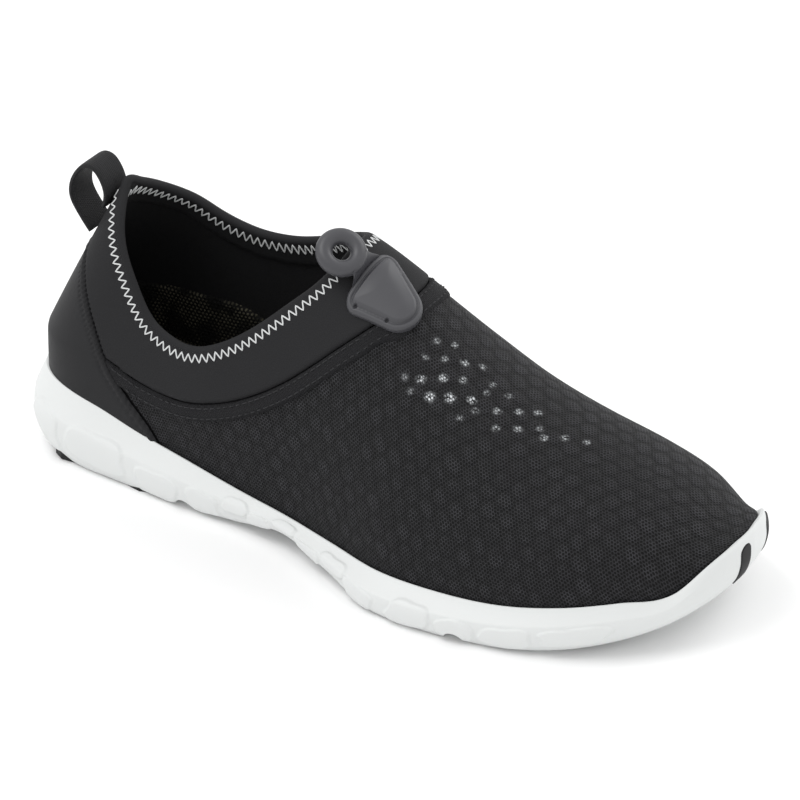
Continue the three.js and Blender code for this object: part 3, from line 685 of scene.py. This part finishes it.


# The spots below are painted light: near-white colour put on the knit where light would shine through its
# holes.
# See-through spots of the knit: pixels across and down in the photo, read off it, and lightness
SPOTS = [
    (430, 397, 1),
    (450, 398, 1),
    (421, 379, 0.8),
    (443, 378, 0.8),
    (472, 400, 0.8),
    (465, 363, 0.7),
    (445, 359, 0.5),
    (483, 367, 0.5),
    (437, 341, 0.5),
    (455, 345, 0.5),
    (425, 357, 0.4),
    (405, 377, 0.4),
    (411, 391, 0.4),
    (463, 380, 0.6),
    (493, 385, 0.5),
    (497, 411, 0.6),
    (519, 412, 0.6),
    (538, 413, 0.6),
    (475, 411, 0.5),
    (460, 418, 0.4),
    (496, 428, 0.5),
    (518, 429, 0.6),
    (544, 438, 0.6),
    (565, 438, 0.6),
    (587, 442, 0.5),
    (540, 429, 0.4),
    (509, 396, 0.4),
    (487, 393, 0.4),
]


def seen_place(table, across, down):
    """Where the camera's ray through a pixel of the photo meets the near side of a surface."""
    right, up, back = (np.array(axis) for axis in camera_axes())
    eye = (np.array(CAMERA_TARGET) + back * CAMERA_AWAY) * 1000 + [HEEL_CENTRE, 0, 0]
    scale = SENSOR / LENS / PHOTO_SIDE
    ray = right * (across - PHOTO_SIDE / 2) * scale + up * (PHOTO_SIDE / 2 - down) * scale - back
    ray /= np.linalg.norm(ray)
    toward = table[:, PLACE] - eye
    away = np.linalg.norm(toward - (toward @ ray)[:, None] * ray, axis=1)
    away[table[:, NORMAL] @ ray > 0] = np.inf
    nearest = table[np.argmin(away)]
    normal = nearest[NORMAL]
    return eye + ray * ((nearest[PLACE] - eye) @ normal) / (ray @ normal)


def make_vamp():
    """The knit from the rim to the tape, with its spots of painted light and the strength of its second
    layer, raised as painted light on the top and far side of the forefoot.
    """
    lower = TAPE_WIDTH - 0.8
    vamp = cut(base, (TO_RIM, -1.0, True), (TO_SEAM, -lower, False), (TO_COUNTER, -1.0, False))
    table = vamp[0]
    # Painted light through the holes, strongest at each listed spot.
    painted_see_through_light = np.zeros(len(table))
    for across, down, light in SPOTS:
        away = np.linalg.norm(table[:, PLACE] - seen_place(table, across, down), axis=1)
        painted_see_through_light = np.maximum(painted_see_through_light, light * smooth(away, 1.0 + 1.2 * light, 0.5 + 0.6 * light))
    # Strength of the second layer: a base share everywhere, raised on the top and far side of the forefoot as
    # painted light.
    layer_with_painted_light = 0.12 + 0.5 * smooth(table[:, AROUND], -8, 20) * smooth(table[:, ALONG], 150, 180)
    add_cloth("upper_mesh", vamp, np.zeros(len(table)), knit, "mesh_fabric", ["upper"],
              {"painted_see_through_light": painted_see_through_light, "layer_with_painted_light": layer_with_painted_light})


def make_cuff():
    """The panel round the collar and the cloth rolled over its edge."""
    panel = cut(base, (TO_COLLAR, EDGE, True), (TO_SEAM, MEET, True), (TO_COUNTER, -MEET, False))
    table = panel[0]
    lift = OUT_CUFF * dip(table[:, TO_SEAM] - MEET, 1.2) * dip(-MEET - table[:, TO_COUNTER], 1.0)
    add_cloth("cuff_panel", panel, lift, cuff_cloth, "cuff_fabric", ["cuff"])

    count, steps = 420, 17
    line, run = resample(iso_lines(*base, TO_COLLAR, EDGE)[0], count, True)
    line = soften(line, 6, True)
    normal, side = frames(line, True)
    turn = np.linspace(0, math.pi, steps)
    roll = np.stack([EDGE * np.cos(turn), -EDGE * np.sin(turn)], -1)
    middle = line[:, PLACE] + normal * (OUT_CUFF - EDGE)
    points, tris = sweep(middle, normal, side, roll, True, closed_profile=False)
    cloth = np.column_stack([np.repeat(np.linspace(0, run, count), steps), np.tile(turn * EDGE, count)])
    add_mesh("cuff_edge", points, tris, cuff_cloth, "cuff_fabric", uv=cloth)


def make_lining(inside):
    """The cloth inside, further in where the cuff is folded down over it."""
    table, tris = inside
    above_bed = (table[:, 2] > bed(table[:, 0]) + 2.0)[tris].all(1)
    depth = WALL + (GAP + CUFF) * smooth(table[:, TO_COLLAR], 12.5, 11.5)
    add_cloth("lining", (table, tris[above_bed][:, ::-1]), -depth, lining_cloth, "cuff_fabric")


CUP_TOP, CUP_LOW, CUP_REACH = 45.0, 30.0, 100.0


def make_insole_cup(inside):
    """The padded cup of the insole, standing up round the heel."""
    table, tris = inside[0].copy(), inside[1]
    top = CUP_TOP + (CUP_LOW - CUP_TOP) * smooth(table[:, 0], 55, CUP_REACH)
    # In this copy the counter's column holds how far a point is below the cup's top
    table[:, TO_COUNTER] = top - table[:, 2]
    cup, tris = cut((table, tris), (TO_COUNTER, 0.0, True), (TO_COLLAR, 14.0, True),
                    (ALONG, CUP_REACH, False), (TO_RIM, -8.0, True))
    depth = WALL + GAP + 1.2 * dip(cup[:, TO_COUNTER], 1.5)
    add_cloth("insole_cup", (cup, tris[:, ::-1]), -depth, cup_weave, "insole_fabric")


ZIGZAG_PITCH, ZIGZAG_STEPS = 3.1, 6


def zigzag(name, distance, level, width, radius):
    """A white zigzag thread at a distance below the collar's line."""
    line, run = resample(iso_lines(*base, TO_COLLAR, distance)[0], 600, True)
    line = soften(line, 8, True)
    count = 2 * ZIGZAG_STEPS * int(run / ZIGZAG_PITCH)
    share = np.arange(count) / count * len(line)
    low = share.astype(int) % len(line)
    t = (share - share.astype(int))[:, None]
    rows = line[low] * (1 - t) + line[(low + 1) % len(line)] * t
    normal, side = frames(rows, True)
    wave = 1 - 2 * np.abs((np.arange(count) / ZIGZAG_STEPS % 2) - 1)
    wave = np.sign(wave) * np.abs(wave) ** 0.85
    centre = rows[:, PLACE] + normal * level + side * (wave * width / 2)[:, None]
    path = np.roll(centre, -1, 0) - np.roll(centre, 1, 0)
    path /= np.linalg.norm(path, axis=1, keepdims=True)
    across = np.cross(normal, path)
    points, tris = sweep(centre, normal, across, circle(6, radius * 0.7, radius), True)
    add_mesh(name, points, tris, thread_white, "cuff_fabric")


def make_tape():
    """Tape over the seam."""
    tape = cut(base, (TO_SEAM, -TAPE_WIDTH, True), (TO_SEAM, -MEET, False), (TO_COUNTER, -MEET, False))
    seam = tape[0][:, TO_SEAM]
    lift = (GAP + TAPE_WALL) * dip(seam + TAPE_WIDTH, 0.9) * dip(-MEET - seam, 0.9)
    add_cloth("tape", tape, lift, tape_cloth, "tape_fabric", ["seam_tape"])


STITCH_LENGTH, STITCH_PITCH, STITCH_RADIUS = 2.0, 2.9, 0.26
STITCH_ARCH = np.array([-0.6, 0.35, 0.6, 0.35, -0.6])


def make_tape_stitches():
    """Two rows of stitches along the tape, each stitch a small arch."""
    front = cut(base, (TO_COUNTER, -1.2, False), (TO_RIM, 0.5, True))
    count, parts = 500, []
    for level in (-1.5, -TAPE_WIDTH + 1.3):
        line, run = resample(iso_lines(*front, TO_SEAM, level)[0], count, False)
        line = soften(line, 8, False)
        normal, side = frames(line, False)
        for k in range(int(run / STITCH_PITCH)):
            middle = (k + 0.5) * STITCH_PITCH / run
            reach = STITCH_LENGTH / 2 / run
            span = np.linspace(middle - reach, middle + reach, len(STITCH_ARCH)) * (count - 1)
            pick = np.clip(np.round(span).astype(int), 0, count - 1)
            height = GAP + TAPE_WALL + STITCH_ARCH * STITCH_RADIUS
            at = line[pick][:, PLACE] + normal[pick] * height[:, None]
            parts.append(sweep(at, normal[pick], side[pick], circle(6, STITCH_RADIUS), False, caps=True))
    add_mesh("tape_stitches", *joined(parts), thread_dark, "tape_fabric")


def make_counter():
    """The smooth panel at the heel, with a raised cord along its front edge."""
    counter = cut(base, (TO_COUNTER, MEET, True), (TO_RIM, -0.6, True), (ALONG, 0.30 * LENGTH, False))
    edge = counter[0][:, TO_COUNTER]
    lift = (GAP + COUNTER_WALL) * dip(edge - MEET, 1.0)
    lift = lift - 0.8 * np.exp(-((edge - 3.0) / 0.5) ** 2) - 0.35 * smooth(edge, 3.0, 4.2)
    add_cloth("counter", counter, lift, counter_cloth, "counter_fabric", ["heel_counter"])


make_vamp()
make_cuff()
inside = cut(base, (TO_COLLAR, EDGE, True))
make_lining(inside)
make_insole_cup(inside)
zigzag("zigzag_outside", EDGE + 2.3, OUT_CUFF + 0.1, 3.0, 0.30)
zigzag("zigzag_inside", EDGE + 2.7, -IN_CUFF - 0.1, 4.0, 0.32)
make_tape()
make_tape_stitches()
make_counter()

# Sole
sole_x = places(0, LENGTH, 640)
LIP_DEPTH, LIP_BULGE = 1.2, 0.5


def sole_point(x, level, side):
    """A place on the foam's side; levels run from 0 at the bottom edge to 1 at the rim."""
    heel, toe = SOLE * hermite(SIDE, 2, level), SOLE * hermite(SIDE, 3, level)
    low, high = -heel, LENGTH + toe
    place = low + (high - low) * x / LENGTH
    mix = np.clip((level - 0.66) / 0.34, 0, 1)
    bulge = (1 - mix) * (flare(place) + SOLE * hermite(SIDE, 1, level)) + mix * RIM_LIP
    shape = closing(place, low, high, HEEL_ROUND + RIM_INSET, TOE_ROUND + RIM_INSET)
    width = (half(place) + bulge) * shape
    bottom = under(place) + TREAD_PROUD
    return np.stack([place, bend(place) + side * width, bottom + (rim(place) - bottom) * level], -1)


def stone_height(x, level):
    """Raised stones on the foam's side, with grooves about them."""
    total = np.zeros_like(x)
    for at, middle, long, high, tilt in STONES:
        up = (level - middle) / (high / 2)
        run = (x / LENGTH - at - tilt * (level - middle) * long) / (long / 2)
        corner = np.arctan2(up, run)
        wobble = 1 + 0.05 * np.cos(3 * corner + 20 * at) + 0.04 * np.cos(5 * corner + 50 * at)
        reach = (np.abs(run) ** 3.4 + np.abs(up) ** 3.4) ** (1 / 3.4) / wobble
        total = np.maximum(total, STONE_RISE * smooth(reach, 1.03, 0.90))
    return total


def sole_side(side):
    x, level = np.meshgrid(sole_x, np.linspace(0, 1, 46), indexing="ij")
    points = sole_point(x, level, side).reshape(-1, 3)
    tris, normal = turned_to(points, grid_faces(*x.shape), [0, side, 0])
    return points + normal * stone_height(x, level).ravel()[:, None], tris


def strip_between(first, last, steps, toward, bulge=0.0):
    """A strip from one line to another, raised along its middle by a bulge."""
    share = np.linspace(0, 1, steps)[None, :, None]
    strip = first[:, None] * (1 - share) + last[:, None] * share
    strip[..., 2] += bulge * np.sin(math.pi * share[..., 0])
    points = strip.reshape(-1, 3)
    tris, _ = turned_to(points, grid_faces(*strip.shape[:2]), toward)
    return points, tris


def sole_lip(side):
    """The rim's top, from its outer edge in to the upper."""
    edge = sole_point(sole_x, np.ones_like(sole_x), side)
    x = np.clip(sole_x, RIM_INSET - 0.1, LENGTH - RIM_INSET + 0.1)
    shape = closing(x, RIM_INSET, LENGTH - RIM_INSET, HEEL_ROUND, TOE_ROUND)
    inner = np.stack([x, bend(x) + side * half(x) * shape, rim(x) - LIP_DEPTH], -1)
    return strip_between(edge, inner, 6, [0, 0, 1], LIP_BULGE)


def sole_underside():
    left, right = (sole_point(sole_x, np.zeros_like(sole_x), side) for side in (-1, 1))
    return strip_between(left, right, 24, [0, 0, -1])


def flex_lift(points):
    """Grooves across the underside."""
    out = points.copy()
    for at in FLEX_AT:
        away = np.clip(1 - ((points[:, 0] - at * LENGTH) / FLEX_RADIUS) ** 2, 0, 1)
        out[:, 2] = np.maximum(out[:, 2], FLEX_RADIUS * np.sqrt(away) * (away > 0))
    return out


def make_sole():
    parts = [sole_side(-1), sole_side(1), sole_lip(-1), sole_lip(1), sole_underside()]
    points, tris = joined(parts)
    add_mesh("foam_sole", flex_lift(points), tris, foam, "foam", ["sole"])


# Rubber tabs in the toe: place from the middle line as a share of the ball width, and tilt
TABS = (("toe_tab_outer", -0.062, 0.06), ("toe_tab_inner", 0.160, -0.06))
TAB_WIDTH, TAB_TOP, TAB_PROUD, TAB_SINK = 6.6, 0.90, 0.35, 0.25
TAB_REACH = 30


def make_toe_tab(name, share, tilt):
    """A tab laid on the bumper, with a round top."""
    side = 1 if share > 0 else -1
    toe_x = LENGTH - TAB_REACH * np.linspace(0, 1, 400) ** 2
    levels, acrosses = np.linspace(0.06, 1, 60), np.linspace(-1, 1, 15)
    top = float(rim(np.array(LENGTH))) * TAB_TOP
    middle = float(bend(np.array(LENGTH))) + share * BALL
    grid = np.zeros((len(acrosses), len(levels), 3))
    for k, level in enumerate(levels):
        line = sole_point(toe_x, np.full(len(toe_x), level), side)
        y = middle + acrosses * TAB_WIDTH / 2 + math.tan(tilt) * (line[0, 2] - top)
        line = line[np.argsort(side * line[:, 1])]
        grid[:, k, 0] = np.interp(side * y, side * line[:, 1], line[:, 0])
        grid[:, k, 1] = y
        grid[:, k, 2] = np.interp(side * y, side * line[:, 1], line[:, 2])
    points = grid.reshape(-1, 3)
    tris, normal = turned_to(points, grid_faces(*grid.shape[:2]), [1, 0, 0])
    over = np.maximum(points[:, 2] - (top - TAB_WIDTH / 2), 0)
    inner = TAB_WIDTH / 2 - np.hypot(np.repeat(acrosses, len(levels)) * TAB_WIDTH / 2, over)
    # The rim's column holds how far a point is inside the tab's outline
    table = np.column_stack([points, normal, np.zeros((len(points), 5)), inner])
    table, tris = clip(table, tris, TO_RIM, 0.02)
    lift = (TAB_PROUD + TAB_SINK) * dip(table[:, TO_RIM], 0.6) - TAB_SINK
    points = table[:, PLACE] + table[:, NORMAL] * lift[:, None]
    add_mesh(name + "_rubber", points, tris, tread, "tread_rubber", [name])


make_sole()
for tab in TABS:
    make_toe_tab(*tab)

# Throat tab: patch, neck and ring. A corner has the middle of its arc and its radius.
CORNERS = ((0.4734, -0.042, 4.2), (0.5193, 0.014, 8.2), (0.4800, 0.117, 4.3))
PATCH_FOOT = 2 * GAP + CUFF
PATCH_SINK, PATCH_RISE, PAD_RISE, PAD_DOME = 0.6, 2.4, 0.95, 0.35
GROOVE_IN, GROOVE_WIDE, GROOVE_DEEP = 2.15, 0.28, 0.5
STITCH_HOLES, HOLE_DEEP = ((137.6, -5.9), (149.6, -4.9)), 1.1
RING = np.array([0.4403 * LENGTH, -0.004 * BALL, INSTEP * 1.137])
RING_RADIUS, RING_TUBE, RING_FLAT = 6.3, 3.1, 2.85
RING_FACING = np.array([0.45, -0.40, 0.80]) / np.linalg.norm([0.45, -0.40, 0.80])
NECK_WIDE, NECK_THICK, NECK_SINK, NECK_STEPS = 11.0, 3.4, 1.6, 32


def patch_outline(inset, steps=14):
    """Outline of the patch in plan."""
    centres = np.array([(at * LENGTH, across * BALL) for at, across, _ in CORNERS])
    rounds = [row[2] for row in CORNERS]
    sides = []
    for k in range(3):
        run = centres[(k + 1) % 3] - centres[k]
        share = (rounds[k] - rounds[(k + 1) % 3]) / np.hypot(*run)
        sides.append(math.atan2(run[1], run[0]) - math.acos(share))
    outline = []
    for k in range(3):
        first = sides[k - 1]
        whole = (sides[k] - first + 4 * math.pi) % (2 * math.pi)
        for turn in first + whole * np.linspace(0, 1, steps):
            outline.append(centres[k] + (rounds[k] - inset) * np.array([math.cos(turn), math.sin(turn)]))
    return np.array(outline)


def inside_distance(x, y, outline):
    """How far inside a convex outline a place is."""
    away = np.full(x.shape, 1e9)
    signed = np.full(x.shape, 1e9)
    for a, b in zip(outline, np.roll(outline, -1, 0)):
        run = b - a
        size = math.hypot(*run)
        t = np.clip(((x - a[0]) * run[0] + (y - a[1]) * run[1]) / size ** 2, 0, 1)
        away = np.minimum(away, np.hypot(x - a[0] - t * run[0], y - a[1] - t * run[1]))
        signed = np.minimum(signed, (run[0] * (y - a[1]) - run[1] * (x - a[0])) / size)
    return np.where(signed > 0, away, -away)


def over_plan(x, y, grow):
    """Place on the upper over a place of the plan."""
    low, high = 0.0, math.pi
    for _ in range(30):
        middle = (low + high) / 2
        if upper_point(np.array(x), np.array(middle), grow)[1] < y:
            low = middle
        else:
            high = middle
    return upper_point(np.array(x), np.array(low), grow)


def make_patch():
    """The patch with its groove, its raised pad and its two stitch holes."""
    table, tris = upper_grid(np.linspace(128, 162, 150), np.linspace(0.9, 2.5, 180))
    # Here the rim's column holds how far a point is inside the patch's outline
    table[:, TO_RIM] = inside_distance(table[:, 0], table[:, 1], patch_outline(0))
    table, tris = clip(table, tris, TO_RIM, 0.0)
    inner = table[:, TO_RIM]
    lift = PATCH_FOOT - PATCH_SINK + PATCH_RISE * dip(inner, 1.2)
    lift = lift + PAD_RISE * smooth(inner, 2.2, 3.3) + PAD_DOME * smooth(inner, 3.0, 8.0)
    lift = lift - GROOVE_DEEP * np.exp(-((inner - GROOVE_IN) / GROOVE_WIDE) ** 2)
    for x, y in STITCH_HOLES:
        away = np.hypot(table[:, 0] - x, table[:, 1] - y)
        lift = lift - HOLE_DEEP * smooth(away, 0.75, 0.35)
    points = table[:, PLACE] + table[:, NORMAL] * lift[:, None]
    add_mesh("throat_patch", points, tris, tab_rubber, "tab_rubber", ["throat_tab"])


def make_ring():
    count = 80
    flat_a = np.cross(RING_FACING, [0, 1.0, 0])
    flat_a /= np.linalg.norm(flat_a)
    flat_b = np.cross(RING_FACING, flat_a)
    turn = 2 * math.pi * np.arange(count) / count
    out = flat_a * np.cos(turn)[:, None] + flat_b * np.sin(turn)[:, None]
    facing = np.tile(RING_FACING, (count, 1))
    points, tris = sweep(RING + RING_RADIUS * out, out, facing, circle(30, RING_TUBE, RING_FLAT), True)
    tris, _ = turned_to(points, tris, points - RING)
    add_mesh("throat_ring", points, tris, tab_rubber, "tab_rubber")


def make_neck():
    """The neck from the ring down to the patch's rear side, with soft corners."""
    rear = patch_outline(NECK_SINK)
    feet = [[over_plan(*end, grow) for grow in (PATCH_FOOT, PATCH_FOOT + 1.9)] for end in (rear[0], rear[-1])]
    middle = np.mean([p for pair in feet for p in pair], 0)
    toward = middle - RING
    toward -= RING_FACING * (toward @ RING_FACING)
    toward /= np.linalg.norm(toward)
    across = np.cross(RING_FACING, toward)
    start = RING + toward * (RING_RADIUS + RING_TUBE - NECK_SINK)
    foot_side = (feet[1][1] - feet[0][1]) / 2
    foot_up = ((feet[0][1] - feet[0][0]) + (feet[1][1] - feet[1][0])) / 4
    sections = []
    for t in np.linspace(-0.12, 1.12, 18):
        s = smooth(t, 0, 1)
        centre = start * (1 - t) + middle * t
        side = across * NECK_WIDE / 2 * (1 - s) + foot_side * 1.04 * s
        up = RING_FACING * NECK_THICK / 2 * (1 - s) + foot_up * s
        turns = 2 * math.pi * np.arange(NECK_STEPS) / NECK_STEPS
        sections.append([centre + side * rounded(math.cos(a), 0.45) + up * rounded(math.sin(a), 0.6)
                         for a in turns])
    points = np.array(sections).reshape(-1, 3)
    toward = points - np.repeat(np.mean(sections, 1), NECK_STEPS, 0)
    tris, _ = turned_to(points, grid_faces(len(sections), NECK_STEPS, True), toward)
    add_mesh("throat_neck", points, tris, tab_rubber, "tab_rubber")


make_patch()
make_ring()
make_neck()

# Pull loop: heights as shares of the heel height, and how far back as shares of the reach
LOOP = ((0.816, 0.00), (0.859, 0.34), (0.927, 0.81), (0.985, 1.00), (1.039, 0.91), (1.078, 0.67),
        (1.076, 0.42), (1.042, 0.24), (1.000, 0.13), (0.966, 0.03), (0.935, 0.00))
LOOP_REACH, LOOP_WIDE, LOOP_THICK, LOOP_STEPS = 18.0, 13.5, 1.8, 40
CLOTH_STEP = 1.3


def through(knots, steps):
    """A smooth line through its knots."""
    path = []
    for k in range(len(knots) - 1):
        p0, p1, p2, p3 = (knots[np.clip(k + d, 0, len(knots) - 1)] for d in (-1, 0, 1, 2))
        for s in np.arange(steps) / steps:
            path.append(0.5 * (2 * p1 + (p2 - p0) * s + (2 * p0 - 5 * p1 + 4 * p2 - p3) * s ** 2
                               + (3 * p1 - p0 - 3 * p2 + p3) * s ** 3))
    return np.array(path + [knots[-1]])


def make_loop():
    heights = np.array([row[0] * HEEL for row in LOOP])
    backs = np.array([row[1] for row in LOOP])
    seat = GAP + LOOP_THICK / 2
    heel_x = RIM_INSET - OUT_CUFF
    place = heel_x + lean(np.full(len(heights), heel_x), heights) - seat - backs * (LOOP_REACH - seat)
    path = soften(through(np.stack([place, heights], -1), 8), 2, False)
    middle_y = float(bend(np.array(HEEL_ROUND))) * 0.5
    centre = np.stack([path[:, 0], np.full(len(path), middle_y), path[:, 1]], -1)
    going = np.gradient(centre, axis=0)
    going /= np.linalg.norm(going, axis=1, keepdims=True)
    across = np.tile([0, 1.0, 0], (len(centre), 1))
    turns = 2 * math.pi * np.arange(LOOP_STEPS) / LOOP_STEPS
    profile = [(rounded(math.cos(a), 0.25) * LOOP_WIDE / 2, rounded(math.sin(a), 0.5) * LOOP_THICK / 2)
               for a in turns]
    points, tris = sweep(centre, across, np.cross(going, across), profile, False, caps=True)
    middles = np.concatenate([np.repeat(centre, LOOP_STEPS, 0), points[-2:]])
    tris, _ = turned_to(points, tris, points - middles)
    run = np.repeat(np.arange(len(centre)) * CLOTH_STEP, LOOP_STEPS)
    cloth = np.concatenate([np.stack([run, points[:len(run), 1]], -1), np.zeros((2, 2))])
    add_mesh("loop_band", points, tris, webbing, "loop_webbing", ["pull_loop"], uv=cloth)


make_loop()

# Rubber treads and insole straight from the solids
SOLIDS = (("tread_heel", tread, "tread_rubber"), ("tread_ball", tread, "tread_rubber"),
          ("tread_toe", tread, "tread_rubber"), ("insole", insole_weave, "insole_fabric"))
for name, material, slot in SOLIDS:
    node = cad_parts[name]
    node.data.materials.clear()
    node.data.materials.append(material)


# Stage, light and camera
def make_floor():
    mesh = bpy.data.meshes.new("floor")
    mesh.from_pydata([(-6, -6, 0), (6, -6, 0), (6, 6, 0), (-6, 6, 0)], [], [(0, 1, 2, 3)])
    mesh.materials.append(Shader("floor_paint", (0.93, 0.93, 0.93), 0.9).material)
    floor = bpy.data.objects.new("floor", mesh)
    bpy.context.scene.collection.objects.link(floor)


def make_world():
    world = bpy.data.worlds.new("studio")
    world.use_nodes = True
    background = world.node_tree.nodes["Background"]
    background.inputs["Color"].default_value = (1, 1, 1, 1)
    background.inputs["Strength"].default_value = 0.95
    bpy.context.scene.world = world
    bpy.context.scene.view_settings.view_transform = "Standard"


def area_light(name, place, target, size, power):
    data = bpy.data.lights.new(name, "AREA")
    data.shape = "SQUARE"
    data.size = size
    data.energy = power
    light = bpy.data.objects.new(name, data)
    light.location = place
    light.rotation_euler = (Vector(target) - Vector(place)).to_track_quat("-Z", "Y").to_euler()
    bpy.context.scene.collection.objects.link(light)


def make_camera():
    data = bpy.data.cameras.new("camera")
    data.lens = LENS
    data.sensor_width = SENSOR
    data.clip_end = 20
    camera = bpy.data.objects.new("camera", data)
    right, up, back = camera_axes()
    turn = Matrix((right, up, back)).transposed()
    place = Vector(CAMERA_TARGET) + back * CAMERA_AWAY
    camera.matrix_world = Matrix.Translation(place) @ turn.to_4x4()
    bpy.context.scene.collection.objects.link(camera)
    bpy.context.scene.camera = camera


make_floor()
make_world()
area_light("key", (-0.5, -0.5, 1.5), (0.1, 0, 0), 0.9, 9)
area_light("rim", (0.6, 1.1, 1.0), (0.1, 0, 0.05), 0.8, 6)
make_camera()
